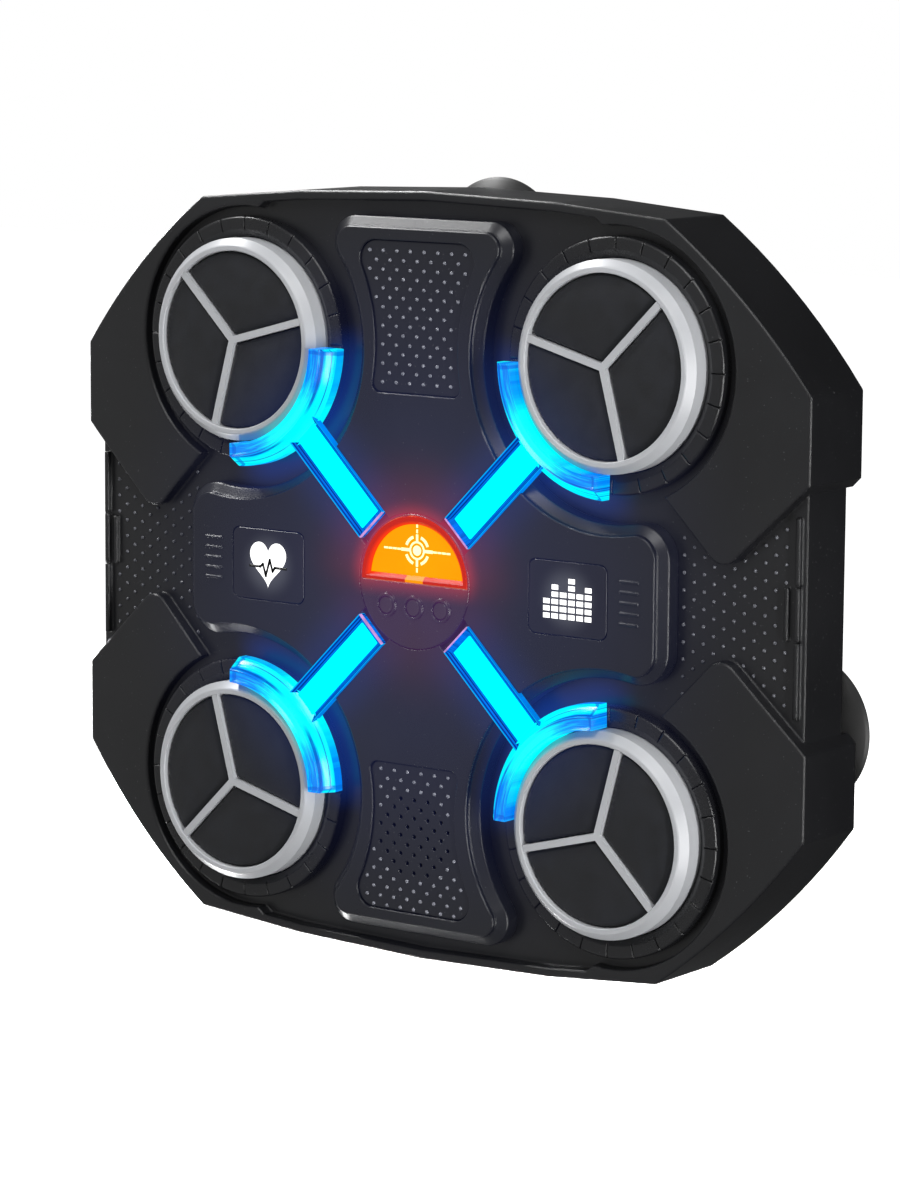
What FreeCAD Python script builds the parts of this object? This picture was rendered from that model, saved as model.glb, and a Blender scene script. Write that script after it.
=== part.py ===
import FreeCAD, Part
import math
import os
import Sketcher
from FreeCAD import Placement, Rotation, Vector

# Wall-mounted musical boxing machine.
# X runs to the right as seen from the front and Z is up. The wall is the plane Y = 0 and the machine
# stands in front of it, towards -Y. "Out" distances are measured from the wall towards the front.

doc = FreeCAD.newDocument("boxing_punch_machine")

DRIVING = {
    # overall outline
    "half_width": 185.4,
    "half_height": 161.0,
    "corner_cut_x": 66.9,
    "corner_cut_z": 66.2,
    "arch_rise": 6.5,
    "recess_depth": 3.8,
    "recess_half_height": 49.5,
    "rim_width": 3.8,
    "wall_thickness": 2.5,
    # how far things stand out from the wall
    "shell_back": 11.5,
    "recess_back": 16.5,
    "cover_back": 13.0,
    "cover_thickness": 2.6,
    "hollow_front": 41.5,
    "floor_out": 47.7,
    "armour_out": 53.5,
    "ledge_out": 56.9,
    "fascia_out": 59.0,
    "pad_out": 62.5,
    "guide_out": 65.0,
    "falloff_start": 100.0,
    "falloff_drop": 3.495,
    # target pads
    "pad_spacing": 95.0,
    "pad_radius": 43.0,
    "pad_rim_width": 5.3,
    "pad_travel": 3.0,
    "pad_clearance": 0.5,
    "spoke_width": 3.0,
    "bezel_width": 8.5,
    "channel_width": 4.3,
    "carrier_out": 50.0,
    "well_out": 36.0,
    "sleeve_back": 30.0,
    "stem_radius": 4.0,
    "sleeve_wall": 3.2,
    # centre fascia
    "neck_gap": 11.5,
    "ledge_width": 4.2,
    "lobe_margin": 15.2,
    "side_end": 119.2,
    "inlay_low": 77.5,
    "inlay_margin": 5.0,
    "speaker_z": -108.0,
    # hub, buttons and windows
    "hub_radius": 28.3,
    "lens_margin": 1.1,
    "button_radius": 3.6,
    "button_pitch": 14.0,
    "button_z": -10.9,
    "button_travel": 1.0,
    "window_x": 77.5,
    "window_width": 38.8,
    "window_height": 30.8,
    # light guides
    "guide_width": 17.0,
    "guide_gap": 2.7,
    "guide_clearance": 0.6,
    "fork_width": 11.4,
    # fixings
    "screw_side_margin": 20.4,
    "screw_side_z": 66.0,
    "screw_top_x": 55.0,
    "screw_top_margin": 15.0,
    "cup_radius": 32.3,
    "cup_top_margin": 28.4,
    "cup_side_margin": 32.7,
    "cup_side_z": -53.1,
}


class Size:
    """A number together with the sheet formula it comes from."""

    def __init__(self, value, formula):
        self.value = value
        self.formula = formula

    def joined(self, other, sign, value, swapped=False):
        text = other.formula if isinstance(other, Size) else repr(other)
        first, second = (text, self.formula) if swapped else (self.formula, text)
        return Size(value, "(%s %s %s)" % (first, sign, second))

    def __add__(self, other):
        return self.joined(other, "+", self.value + number(other))

    def __radd__(self, other):
        return self.joined(other, "+", number(other) + self.value, True)

    def __sub__(self, other):
        return self.joined(other, "-", self.value - number(other))

    def __rsub__(self, other):
        return self.joined(other, "-", number(other) - self.value, True)

    def __mul__(self, other):
        return self.joined(other, "*", self.value * number(other))

    def __rmul__(self, other):
        return self.joined(other, "*", number(other) * self.value, True)

    def __truediv__(self, other):
        return self.joined(other, "/", self.value / number(other))

    def __rtruediv__(self, other):
        return self.joined(other, "/", number(other) / self.value, True)

    def __neg__(self):
        return Size(-self.value, "(-1 * %s)" % self.formula)


def number(item):
    return item.value if isinstance(item, Size) else float(item)


def root(size):
    return Size(math.sqrt(size.value), "sqrt(%s)" % size.formula)


def fill_sheet():
    """Write the driving dimensions in the sheet and give them back as sizes."""
    sheet = doc.addObject("Spreadsheet::Sheet", "Sizes")
    sizes = {}
    for row, (name, value) in enumerate(DRIVING.items(), start=1):
        sheet.set("A%d" % row, name)
        sheet.set("B%d" % row, repr(value))
        sheet.setAlias("B%d" % row, name)
        sizes[name] = Size(value, "Sizes.%s" % name)
    doc.recompute()
    return sizes


def derive(sizes):
    """Sizes that follow from the driving ones."""
    sizes["recess_half_width"] = sizes["half_width"] - sizes["recess_depth"]
    sizes["shoulder_x"] = sizes["half_width"] - sizes["corner_cut_x"]
    sizes["shoulder_z"] = sizes["half_height"] - sizes["arch_rise"]
    sizes["corner_z"] = sizes["shoulder_z"] - sizes["corner_cut_z"]
    reach = sizes["half_width"] - sizes["falloff_start"]
    drop = sizes["falloff_drop"]
    sizes["falloff_radius"] = (reach * reach + drop * drop) / (2 * drop)
    sizes["arch_x"] = sizes["shoulder_x"] * 0.55
    sizes["arch_z"] = sizes["half_height"] - sizes["arch_rise"] * 0.3
    sizes["diagonal_radius"] = sizes["half_width"] * 1.6
    sizes["cover_front"] = sizes["cover_back"] + sizes["cover_thickness"]
    sizes["pad_disc_radius"] = sizes["pad_radius"] - sizes["pad_rim_width"]
    sizes["bezel_radius"] = sizes["pad_radius"] + sizes["pad_clearance"] + sizes["bezel_width"]
    sizes["armour_ring_radius"] = sizes["bezel_radius"] + sizes["channel_width"]
    sizes["neck_radius"] = sizes["armour_ring_radius"] + sizes["neck_gap"]
    sizes["sleeve_radius"] = sizes["stem_radius"] + sizes["sleeve_wall"]
    sizes["coil_radius"] = sizes["sleeve_radius"] + 2.4
    sizes["lobe_end"] = sizes["half_height"] - sizes["lobe_margin"]
    sizes["inlay_high"] = sizes["lobe_end"] - sizes["inlay_margin"]
    sizes["lens_radius"] = sizes["hub_radius"] - sizes["lens_margin"]
    sizes["guide_start"] = sizes["hub_radius"] + sizes["guide_gap"]
    sizes["guide_inner_radius"] = sizes["pad_radius"] + sizes["guide_clearance"]
    sizes["guide_outer_radius"] = sizes["guide_inner_radius"] + sizes["fork_width"]
    sizes["screw_side_x"] = sizes["half_width"] - sizes["screw_side_margin"]
    sizes["screw_top_z"] = sizes["half_height"] - sizes["screw_top_margin"]
    sizes["cup_top_z"] = sizes["half_height"] - sizes["cup_top_margin"]
    sizes["cup_side_x"] = sizes["half_width"] - sizes["cup_side_margin"]
    return sizes


S = derive(fill_sheet())
PARTS = []
CORNERS = {"upper_right": (1, 1), "upper_left": (-1, 1), "lower_left": (-1, -1), "lower_right": (1, -1)}


# ---------------------------------------------------------------- modelling helpers
def place(item, x=0.0, y=0.0, z=0.0, turn=0.0):
    """Stand an object at x, y, z, turned anticlockwise as seen from the front."""
    item.Placement = Placement(Vector(number(x), number(y), number(z)), Rotation(Vector(0, -1, 0), turn))
    for axis, value in (("x", x), ("y", y), ("z", z)):
        if isinstance(value, Size):
            item.setExpression("Placement.Base." + axis, value.formula)


def new_body(label, x=0.0, z=0.0, turn=0.0):
    body = doc.addObject("PartDesign::Body", label)
    body.Label = label
    place(body, x, 0.0, z, turn)
    PARTS.append(body)
    return body


def origin_item(body, role):
    return [item for item in body.Origin.OriginFeatures if item.Role == role][0]


def sketch_on(body, name, out=0.0, plane="XZ_Plane"):
    """A sketch parallel to the wall, or on another origin plane, `out` along the plane's normal."""
    sketch = body.newObject("Sketcher::SketchObject", name)
    sketch.AttachmentSupport = [(origin_item(body, plane), "")]
    sketch.MapMode = "FlatFace"
    sketch.AttachmentOffset = Placement(Vector(0, 0, number(out)), Rotation())
    if isinstance(out, Size):
        sketch.setExpression("AttachmentOffset.Base.z", out.formula)
    return sketch


def hold(sketch, kind, *ends_and_size):
    """Add a dimension whose last value is a size, and bind it to the sheet."""
    size = ends_and_size[-1]
    index = sketch.addConstraint(Sketcher.Constraint(kind, *ends_and_size[:-1], number(size)))
    if isinstance(size, Size):
        sketch.setExpression("Constraints[%d]" % index, size.formula)


def hold_point(sketch, curve, end, x, z):
    hold(sketch, "DistanceX", -1, 1, curve, end, x)
    hold(sketch, "DistanceY", -1, 1, curve, end, z)


def add_edge(sketch, start, end, radius):
    """A line or arc from start to end; gives the curve and its two end numbers in travelling order.

    A positive radius has its centre on the left of the way, a negative one on the right.
    """
    if not radius:
        return sketch.addGeometry(Part.LineSegment(start, end)), 1, 2
    if radius < 0:
        start, end = end, start
    chord = end - start
    left = Vector(-chord.y, chord.x, 0).normalize()
    size = abs(radius)
    centre = (start + end) * 0.5 + left * math.sqrt(size * size - chord.Length ** 2 / 4)
    curve = sketch.addGeometry(Part.Arc(start, centre - left * size, end))
    return (curve, 1, 2) if radius > 0 else (curve, 2, 1)


def add_loop(sketch, corners):
    """A closed outline; a third value at a corner makes the stretch that follows it an arc."""
    points = [Vector(number(corner[0]), number(corner[1]), 0) for corner in corners]
    radii = [corner[2] if len(corner) > 2 else 0 for corner in corners]
    edges = [add_edge(sketch, point, points[(index + 1) % len(points)], number(radii[index]))
             for index, point in enumerate(points)]
    for index, (curve, _, last) in enumerate(edges):
        following, its_first, _ = edges[(index + 1) % len(edges)]
        sketch.addConstraint(Sketcher.Constraint("Coincident", curve, last, following, its_first))
    for corner, radius, (curve, first, _) in zip(corners, radii, edges):
        hold_point(sketch, curve, first, corner[0], corner[1])
        if number(radius):
            hold(sketch, "Radius", curve, radius if number(radius) > 0 else -radius)


def add_box(sketch, x, z, width, height):
    left, right = x - width / 2, x + width / 2
    low, high = z - height / 2, z + height / 2
    add_loop(sketch, [(left, low), (right, low), (right, high), (left, high)])


def add_circle(sketch, x, z, radius):
    centre = Vector(number(x), number(z), 0)
    curve = sketch.addGeometry(Part.Circle(centre, Vector(0, 0, 1), number(radius)))
    hold_point(sketch, curve, 3, x, z)
    hold(sketch, "Radius", curve, radius)


def sized(feature, sketch, length):
    feature.Profile = sketch
    sketch.Visibility = False
    if length is None:
        feature.Type = 1
    elif isinstance(length, Size):
        feature.setExpression("Length", length.formula)
    else:
        feature.Length = length
    doc.recompute()
    return feature


def grow(body, sketch, length):
    """Pad the sketch towards the front."""
    return sized(body.newObject("PartDesign::Pad", sketch.Name + "Pad"), sketch, length)


def sink(body, sketch, length=None, front=False):
    """Pocket the sketch towards the wall, or towards the front; no length goes right through."""
    pocket = body.newObject("PartDesign::Pocket", sketch.Name + "Pocket")
    pocket.Reversed = front
    return sized(pocket, sketch, length)


def spin(body, sketch, angle=360.0):
    """Revolve a profile drawn in the XY plane about the body's front-to-back axis."""
    turn = body.newObject("PartDesign::Revolution", sketch.Name + "Turn")
    turn.Profile = sketch
    turn.ReferenceAxis = (sketch, ["V_Axis"])
    turn.Midplane = True
    turn.Angle = angle
    sketch.Visibility = False
    doc.recompute()
    return turn


def repeat(body, feature, count):
    """Repeat a feature round the front-to-back axis."""
    pattern = body.newObject("PartDesign::PolarPattern", feature.Name + "Round")
    pattern.Originals = [feature]
    pattern.Axis = (origin_item(body, "Y_Axis"), [""])
    pattern.Angle = 360
    pattern.Occurrences = count
    doc.recompute()
    body.Tip = pattern
    doc.recompute()


def flat_edges(body, out, wanted=None):
    """Names of the edges lying flat at a distance from the wall whose middle is wanted."""
    names = []
    shape = body.Tip.Shape
    for index, edge in enumerate(shape.Edges, start=1):
        box = edge.BoundBox
        middle = edge.valueAt((edge.FirstParameter + edge.LastParameter) / 2)
        flat = abs(box.YMin + number(out)) < 1e-3 and abs(box.YMax + number(out)) < 1e-3
        if flat and (wanted is None or wanted(middle)):
            names.append("Edge%d" % index)
    return names


def soften(body, names, radius, second=None):
    """Round the named edges, or bevel them with a second size given."""
    kind = "Fillet" if second is None else "Chamfer"
    base = body.Tip
    feature = body.newObject("PartDesign::" + kind, base.Name + kind)
    feature.Base = (base, names)
    if second is None:
        feature.Radius = radius
    else:
        feature.ChamferType = 1
        feature.Size = radius
        feature.Size2 = second
    doc.recompute()
    return feature


# ---------------------------------------------------------------- shared outlines
def flip(value, sign):
    return -value if sign < 0 and number(value) else value


def all_round(quarter):
    """Mirror a quarter outline, drawn from the right side to the top, into a closed loop."""
    radii = [corner[2] if len(corner) > 2 else 0 for corner in quarter]
    last = len(quarter) - 1
    loop = []
    for sx, sz, turned in ((1, 1, False), (-1, 1, True), (-1, -1, False), (1, -1, True)):
        for step in range(last + 1):
            index = last - step if turned else step
            radius = (radii[index - 1] if index else 0) if turned else radii[index]
            corner = (flip(quarter[index][0], sx), flip(quarter[index][1], sz), radius)
            if loop and number(loop[-1][0]) == number(corner[0]) and number(loop[-1][1]) == number(corner[1]):
                loop.pop()
            loop.append(corner)
    return loop


def body_outline(inset):
    """The octagon of the housing with its side recesses, drawn smaller all round by the inset."""
    step = S["half_width"] - S["recess_half_width"]
    return all_round([
        (S["recess_half_width"] - inset, S["recess_half_height"] - inset * 0.4),
        (S["half_width"] - inset, S["recess_half_height"] + step - inset * 0.4),
        (S["half_width"] - inset, S["corner_z"] - inset * 0.4, S["diagonal_radius"]),
        (S["shoulder_x"] - inset * 0.4, S["shoulder_z"] - inset),
        (S["arch_x"], S["arch_z"] - inset),
        (0.0, S["half_height"] - inset),
    ])


def round_pad(radius, x):
    """Height above a pad's centre of the point on a circle round it, x to the side of the centre."""
    return root(radius * radius - x * x)


def fascia_outline(inset):
    """The X-shaped plate: straight lobe ends, rounded corners and necks curved round the pads."""
    neck = S["neck_radius"] + inset
    side_x = 13.0 + inset * 0.35
    top_x = 54.8 + inset * 0.85
    side_z = round_pad(neck, side_x)
    top_z = round_pad(neck, top_x)
    side_corner = (S["side_end"] - inset - S["pad_spacing"] - side_x) / (side_x / neck + 1.0)
    top_corner = (S["lobe_end"] - inset - S["pad_spacing"] - top_z) / (top_z / neck + 1.0)
    return all_round([
        (S["side_end"] - inset, S["pad_spacing"] - side_z - side_corner * side_z / neck, side_corner),
        (S["pad_spacing"] + side_x, S["pad_spacing"] - side_z, -neck),
        (S["pad_spacing"] - top_x, S["pad_spacing"] + top_z, top_corner),
        (S["pad_spacing"] - top_x - top_corner * top_x / neck, S["lobe_end"] - inset),
    ])


def inlay_outline(sign, inset):
    """The waisted panel on the upper (1) or lower (-1) lobe."""
    low = S["inlay_low"] + inset
    high = S["inlay_high"] - inset
    span = high - low - 15.3
    waist = span * 1.61
    right = [
        (18.8 - inset, low, 4.0),
        (22.8 - inset, low + 4.0, -waist),
        (28.6 - inset, high - 11.3, 7.95),
        (21.4 - inset, high),
    ]
    left = [(-21.4 + inset, high, 7.95), (-28.6 + inset, high - 11.3, -waist),
            (-22.8 + inset, low + 4.0, 4.0), (-18.8 + inset, low)]
    loop = right + left
    if sign > 0:
        return loop
    turned = [(x, -z) for x, z, *_ in reversed(loop)]
    radii = [corner[2] if len(corner) > 2 else 0 for corner in reversed(loop)]
    return [corner + (radius,) for corner, radius in zip(turned, radii[1:] + radii[:1])]


def diagonal_box(sketch, sx, sz, start, end, width):
    """A rectangle lying along one diagonal of the front, from start to end off the centre."""
    slant = math.sqrt(0.5)
    half = width / 2
    corners = [((start + half) * slant, (start - half) * slant), ((end + half) * slant, (end - half) * slant),
               ((end - half) * slant, (end + half) * slant), ((start - half) * slant, (start + half) * slant)]
    add_loop(sketch, [(flip(x, sx), flip(z, sz)) for x, z in corners])


def screw_places():
    for sx, sz in CORNERS.values():
        yield flip(S["screw_side_x"], sx), flip(S["screw_side_z"], sz)
        yield flip(S["screw_top_x"], sx), flip(S["screw_top_z"], sz)


def cup_places():
    yield 0.0, S["cup_top_z"]
    yield -S["cup_side_x"], S["cup_side_z"]
    yield S["cup_side_x"], S["cup_side_z"]


def pad_places():
    for sx, sz in CORNERS.values():
        yield flip(S["pad_spacing"], sx), flip(S["pad_spacing"], sz)


# ---------------------------------------------------------------- housing
def cut_falloff(body, name, out):
    """Take the front away along a large arc so that it falls back towards the left and right sides."""
    start = S["falloff_start"]
    end = S["half_width"] + 6.0
    reach = end - start
    arc = S["falloff_radius"]
    level = -out
    edge = level + arc - root(arc * arc - reach * reach)
    front = -S["guide_out"] - 10.0
    sketch = sketch_on(body, name, plane="XY_Plane")
    add_loop(sketch, [(start, level, arc), (end, edge), (end, front), (start, front)])
    add_loop(sketch, [(-start, level, -arc), (-end, edge), (-end, front), (-start, front)])
    pocket = body.newObject("PartDesign::Pocket", name + "Pocket")
    pocket.Profile = sketch
    pocket.Midplane = True
    pocket.setExpression("Length", (S["half_height"] * 2 + 20.0).formula)
    sketch.Visibility = False
    doc.recompute()


def armour_loop(sx, sz):
    """One raised corner plate, from the side recess round the corner to the rim and back by the pad."""
    ring = S["armour_ring_radius"]
    pad = S["pad_spacing"]
    step = S["half_width"] - S["recess_half_width"]
    tip_x = pad + ring * 0.923
    tip_z = S["recess_half_height"] - 33.0
    quarter = [
        (S["recess_half_width"], S["recess_half_height"], 0),
        (S["half_width"], S["recess_half_height"] + step, 0),
        (S["half_width"], S["corner_z"], S["diagonal_radius"]),
        (S["shoulder_x"], S["shoulder_z"], 0),
        (pad - 10.5, top_edge(pad - 10.5), 0),
        (pad - 10.5, top_edge(pad - 10.5) - S["rim_width"], 0),
        (pad - 7.0, pad + round_pad(ring, 7.0), -ring),
        (pad + 24.4, pad - round_pad(ring, 24.4), 0),
        (tip_x - 5.4, tip_z + 5.1, 8.0),
        (tip_x + 5.4, tip_z + 5.1, 0),
    ]
    corners = [(flip(x, sx), flip(z, sz), radius) for x, z, radius in quarter]
    if sx * sz > 0:
        return corners
    radii = [corner[2] for corner in corners]
    radii = radii[-1:] + radii[:-1]
    return [(x, z, radius) for (x, z, _), radius in reversed(list(zip(corners, radii)))]


def top_edge(x):
    """Height of the outer stretch of the arched top edge at a distance from the middle."""
    fall = (S["arch_z"] - S["shoulder_z"]) / (S["shoulder_x"] - S["arch_x"])
    return S["shoulder_z"] + fall * (S["shoulder_x"] - x)


def add_rims(body):
    """The lips along the top and bottom edges between the corner plates."""
    sketch = sketch_on(body, "RimOutline", S["hollow_front"])
    width = S["rim_width"]
    end_x = S["pad_spacing"] - 10.5
    end_z = top_edge(end_x)
    outer = [(end_x, end_z), (S["arch_x"], S["arch_z"]), (0.0, S["half_height"]),
             (-S["arch_x"], S["arch_z"]), (-end_x, end_z)]
    inner = [(x, z - width) for x, z in reversed(outer)]
    for sz in (1, -1):
        add_loop(sketch, [(x, flip(z, sz)) for x, z in outer + inner])
    grow(body, sketch, S["armour_out"] - S["hollow_front"])


def add_rails(body):
    """Thin upright rails and short tabs beside the dotted side panels."""
    sketch = sketch_on(body, "RailOutline", S["hollow_front"])
    for side in (1, -1):
        x = flip(S["recess_half_width"] - 3.1, side)
        for low, high in ((-40.0, -9.6), (-8.6, 12.4), (13.4, 40.0)):
            add_box(sketch, x, (low + high) / 2, 2.0, high - low)
        add_box(sketch, flip(S["recess_half_width"] - 8.1, side), 1.5, 1.6, 21.0)
    grow(body, sketch, S["floor_out"] - 0.6 - S["hollow_front"])


def make_front_shell():
    body = new_body("front_shell")
    sketch = sketch_on(body, "ShellOutline", S["shell_back"])
    add_loop(sketch, body_outline(0.0))
    grow(body, sketch, S["floor_out"] - S["shell_back"])
    cut_falloff(body, "FloorFalloff", S["floor_out"])

    sketch = sketch_on(body, "PadLand", S["hollow_front"])
    for x, z in pad_places():
        add_circle(sketch, x, z, S["armour_ring_radius"])
    grow(body, sketch, S["floor_out"] - S["hollow_front"])

    sketch = sketch_on(body, "ArmourOutline", S["hollow_front"] - 2.0)
    for sx, sz in CORNERS.values():
        add_loop(sketch, armour_loop(sx, sz))
    grow(body, sketch, S["armour_out"] - S["hollow_front"] + 2.0)
    cut_falloff(body, "ArmourFalloff", S["armour_out"])
    add_rims(body)
    add_rails(body)
    soften(body, upright_corners(body), 2.0)
    soften(body, front_rims(body), 0.9)
    hollow_shell(body)
    add_wells(body)
    open_floor(body)
    return body


def upright_corners(body):
    """Names of the edges running front to back at the outer corners of the housing."""
    corners = [(number(S["half_width"]), number(S["corner_z"])),
               (number(S["shoulder_x"]), number(S["shoulder_z"]))]
    names = []
    for index, edge in enumerate(body.Tip.Shape.Edges, start=1):
        box = edge.BoundBox
        middle = (abs(box.XMin + box.XMax) / 2, abs(box.ZMin + box.ZMax) / 2)
        thin = box.XLength < 0.01 and box.ZLength < 0.01
        if thin and any(math.dist(middle, corner) < 0.01 for corner in corners):
            names.append("Edge%d" % index)
    return names


def front_rims(body):
    """Names of the front edges of the corner plates and rims."""
    level = number(S["armour_out"])
    names = []
    for index, edge in enumerate(body.Tip.Shape.Edges, start=1):
        box = edge.BoundBox
        across = box.YLength < 4.0 and -box.YMax > level - 4.1 and -box.YMin > number(S["floor_out"]) + 2.0
        if across and (box.XLength > 0.02 or abs(abs(box.XMin) - number(S["falloff_start"])) > 0.02):
            names.append("Edge%d" % index)
    return names


def hollow_shell(body):
    sketch = sketch_on(body, "ShellHollow", S["shell_back"])
    add_loop(sketch, body_outline(S["wall_thickness"]))
    sink(body, sketch, S["hollow_front"] - S["shell_back"], front=True)
    sketch = sketch_on(body, "RecessBack", S["shell_back"])
    for side in (1, -1):
        add_box(sketch, flip(S["half_width"], side), 0.0, 24.0, S["recess_half_height"] * 2)
    sink(body, sketch, S["recess_back"] - S["shell_back"], front=True)


def add_wells(body):
    """The round wells the pads slide in, each with a guide sleeve for the stem."""
    well = S["pad_radius"] + S["pad_clearance"]
    sketch = sketch_on(body, "WellCup", S["well_out"] - S["wall_thickness"])
    for x, z in pad_places():
        add_circle(sketch, x, z, well + S["wall_thickness"])
    grow(body, sketch, S["hollow_front"] - S["well_out"] + S["wall_thickness"] + 1.0)
    sketch = sketch_on(body, "WellBore", S["pad_out"])
    for x, z in pad_places():
        add_circle(sketch, x, z, well)
    sink(body, sketch, S["pad_out"] - S["well_out"])
    sketch = sketch_on(body, "Sleeve", S["sleeve_back"])
    for x, z in pad_places():
        add_circle(sketch, x, z, S["sleeve_radius"])
    grow(body, sketch, S["carrier_out"] - 6.0 - S["sleeve_back"])
    sketch = sketch_on(body, "SleeveBore", S["pad_out"])
    for x, z in pad_places():
        add_circle(sketch, x, z, S["stem_radius"] + 0.05)
    sink(body, sketch)


def open_floor(body):
    """Openings behind the speaker, the windows and the charging port, and the bosses for the screws."""
    sketch = sketch_on(body, "FloorOpenings", S["pad_out"])
    add_circle(sketch, 0.0, S["speaker_z"], 19.0)
    for side in (1, -1):
        add_box(sketch, flip(S["window_x"], side), 0.0, 8.0, 8.0)
    add_circle(sketch, 0.0, 8.0, 4.0)
    sink(body, sketch)
    sketch = sketch_on(body, "Bosses", S["cover_front"] + 0.1)
    for x, z in screw_places():
        add_circle(sketch, x, z, 4.5)
    grow(body, sketch, S["hollow_front"] - S["cover_front"] + 0.5)
    sketch = sketch_on(body, "BossHoles", S["cover_back"])
    for x, z in screw_places():
        add_circle(sketch, x, z, 1.4)
    sink(body, sketch, 22.0, front=True)
    sketch = sketch_on(body, "PortOpening", -S["half_height"] - 2.0, "XY_Plane")
    add_box(sketch, 0.0, -25.0, 9.6, 3.8)
    sink(body, sketch, 8.0, front=True)


def make_rear_cover():
    body = new_body("rear_cover")
    sketch = sketch_on(body, "CoverOutline", S["cover_back"])
    add_loop(sketch, body_outline(S["wall_thickness"] + 0.3))
    grow(body, sketch, S["cover_front"] - S["cover_back"])
    sketch = sketch_on(body, "CoverHoles", S["pad_out"])
    for x, z in screw_places():
        add_circle(sketch, x, z, 1.8)
    for x, z in cup_places():
        add_circle(sketch, x, z, 5.8)
    sink(body, sketch)
    sketch = sketch_on(body, "CupSeats", S["cover_back"] - 1.2)
    for x, z in cup_places():
        add_circle(sketch, x, z, 15.0)
        add_circle(sketch, x, z, 11.0)
    grow(body, sketch, 1.4)
    sketch = sketch_on(body, "Counterbores", S["cover_back"] - 1.2)
    for x, z in screw_places():
        add_circle(sketch, x, z, 3.3)
    sink(body, sketch, 2.4, front=True)
    sketch = sketch_on(body, "Panel", S["cover_back"])
    add_box(sketch, 0.0, 30.0, 120.0, 60.0)
    add_box(sketch, 0.0, -60.0, 70.0, 34.0)
    for column in range(9):
        add_box(sketch, -40.0 + column * 10.0, S["speaker_z"], 2.4, 26.0)
    sink(body, sketch, 0.8, front=True)
    sketch = sketch_on(body, "CoverRibs", S["cover_front"] - 0.2)
    for x in (-130.0, 130.0):
        add_box(sketch, x, 0.0, 2.0, 150.0)
    for z in (72.0, -76.0):
        add_box(sketch, 0.0, z, 150.0, 2.0)
    grow(body, sketch, 4.0)
    return body


def make_cover_screws():
    body = new_body("cover_screws")
    sketch = sketch_on(body, "ScrewHeads", S["cover_back"] + 0.05)
    for x, z in screw_places():
        add_circle(sketch, x, z, 3.0)
    grow(body, sketch, 1.1)
    sketch = sketch_on(body, "ScrewShanks", S["cover_back"] + 1.0)
    for x, z in screw_places():
        add_circle(sketch, x, z, 1.38)
    grow(body, sketch, 18.0)
    sketch = sketch_on(body, "ScrewSlots", S["cover_back"] + 0.05)
    for x, z in screw_places():
        add_box(sketch, x, z, 3.6, 0.7)
    sink(body, sketch, 0.6, front=True)
    return body


# ---------------------------------------------------------------- centre fascia
def make_center_fascia():
    body = new_body("center_fascia")
    sketch = sketch_on(body, "LedgeOutline", S["floor_out"])
    add_loop(sketch, fascia_outline(-S["ledge_width"]))
    grow(body, sketch, S["ledge_out"] - S["floor_out"])
    soften(body, flat_edges(body, S["ledge_out"]), 2.7, 4.0)
    soften(body, flat_edges(body, S["ledge_out"] - 2.7), 0.7)
    sketch = sketch_on(body, "FaceOutline", S["ledge_out"] - 3.0)
    add_loop(sketch, fascia_outline(0.0))
    grow(body, sketch, S["fascia_out"] - S["ledge_out"] + 3.0)
    soften(body, flat_edges(body, S["fascia_out"]), 0.8)

    sketch = sketch_on(body, "FasciaHollow", S["floor_out"])
    add_loop(sketch, fascia_outline(0.5 * S["ledge_width"]))
    sink(body, sketch, S["ledge_out"] - 3.0 - S["floor_out"], front=True)
    sketch = sketch_on(body, "GuideChannels", S["pad_out"])
    for sx, sz in CORNERS.values():
        diagonal_box(sketch, sx, sz, S["hub_radius"] - 2.0, S["pad_spacing"] * 1.4, S["guide_width"] + 0.6)
    sink(body, sketch, S["pad_out"] - S["ledge_out"] + 0.8)
    sketch = sketch_on(body, "FasciaOpenings", S["pad_out"])
    add_circle(sketch, 0.0, 0.0, S["hub_radius"] + 0.3)
    for side in (1, -1):
        add_box(sketch, flip(S["window_x"], side), 0.0, S["window_width"] - 5.0, S["window_height"] - 5.0)
    add_circle(sketch, 0.0, S["speaker_z"], 18.0)
    sink(body, sketch)
    sketch = sketch_on(body, "InlayRecesses", S["pad_out"])
    for side in (1, -1):
        add_loop(sketch, inlay_outline(side, 0.0))
    sink(body, sketch, S["pad_out"] - S["fascia_out"] + 2.6)
    sketch = sketch_on(body, "WindowRecesses", S["pad_out"])
    for side in (1, -1):
        add_loop(sketch, window_outline(side, 0.0))
    sink(body, sketch, S["pad_out"] - S["fascia_out"] + 2.4)
    sketch = sketch_on(body, "TickRibs", S["fascia_out"] - 1.0)
    for side in (1, -1):
        for row in range(5):
            add_box(sketch, flip(S["side_end"] - 11.8, side), 9.6 - row * 4.3, 9.0, 1.0)
    grow(body, sketch, 1.7)
    return body


def window_outline(side, inset):
    """A rectangle with rounded corners round one icon window."""
    x = flip(S["window_x"], side)
    right = x + S["window_width"] / 2 - inset
    left = x - S["window_width"] / 2 + inset
    high = S["window_height"] / 2 - inset
    corner = 3.5
    return [(right, corner - high), (right, high - corner, corner), (right - corner, high),
            (left + corner, high, corner), (left, high - corner), (left, corner - high, corner),
            (left + corner, -high), (right - corner, -high, corner)]


def make_plate(label, sketch_name, outline, back, thickness, soft):
    body = new_body(label)
    sketch = sketch_on(body, sketch_name, back)
    add_loop(sketch, outline)
    grow(body, sketch, thickness)
    soften(body, flat_edges(body, back + thickness), soft)
    return body


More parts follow.
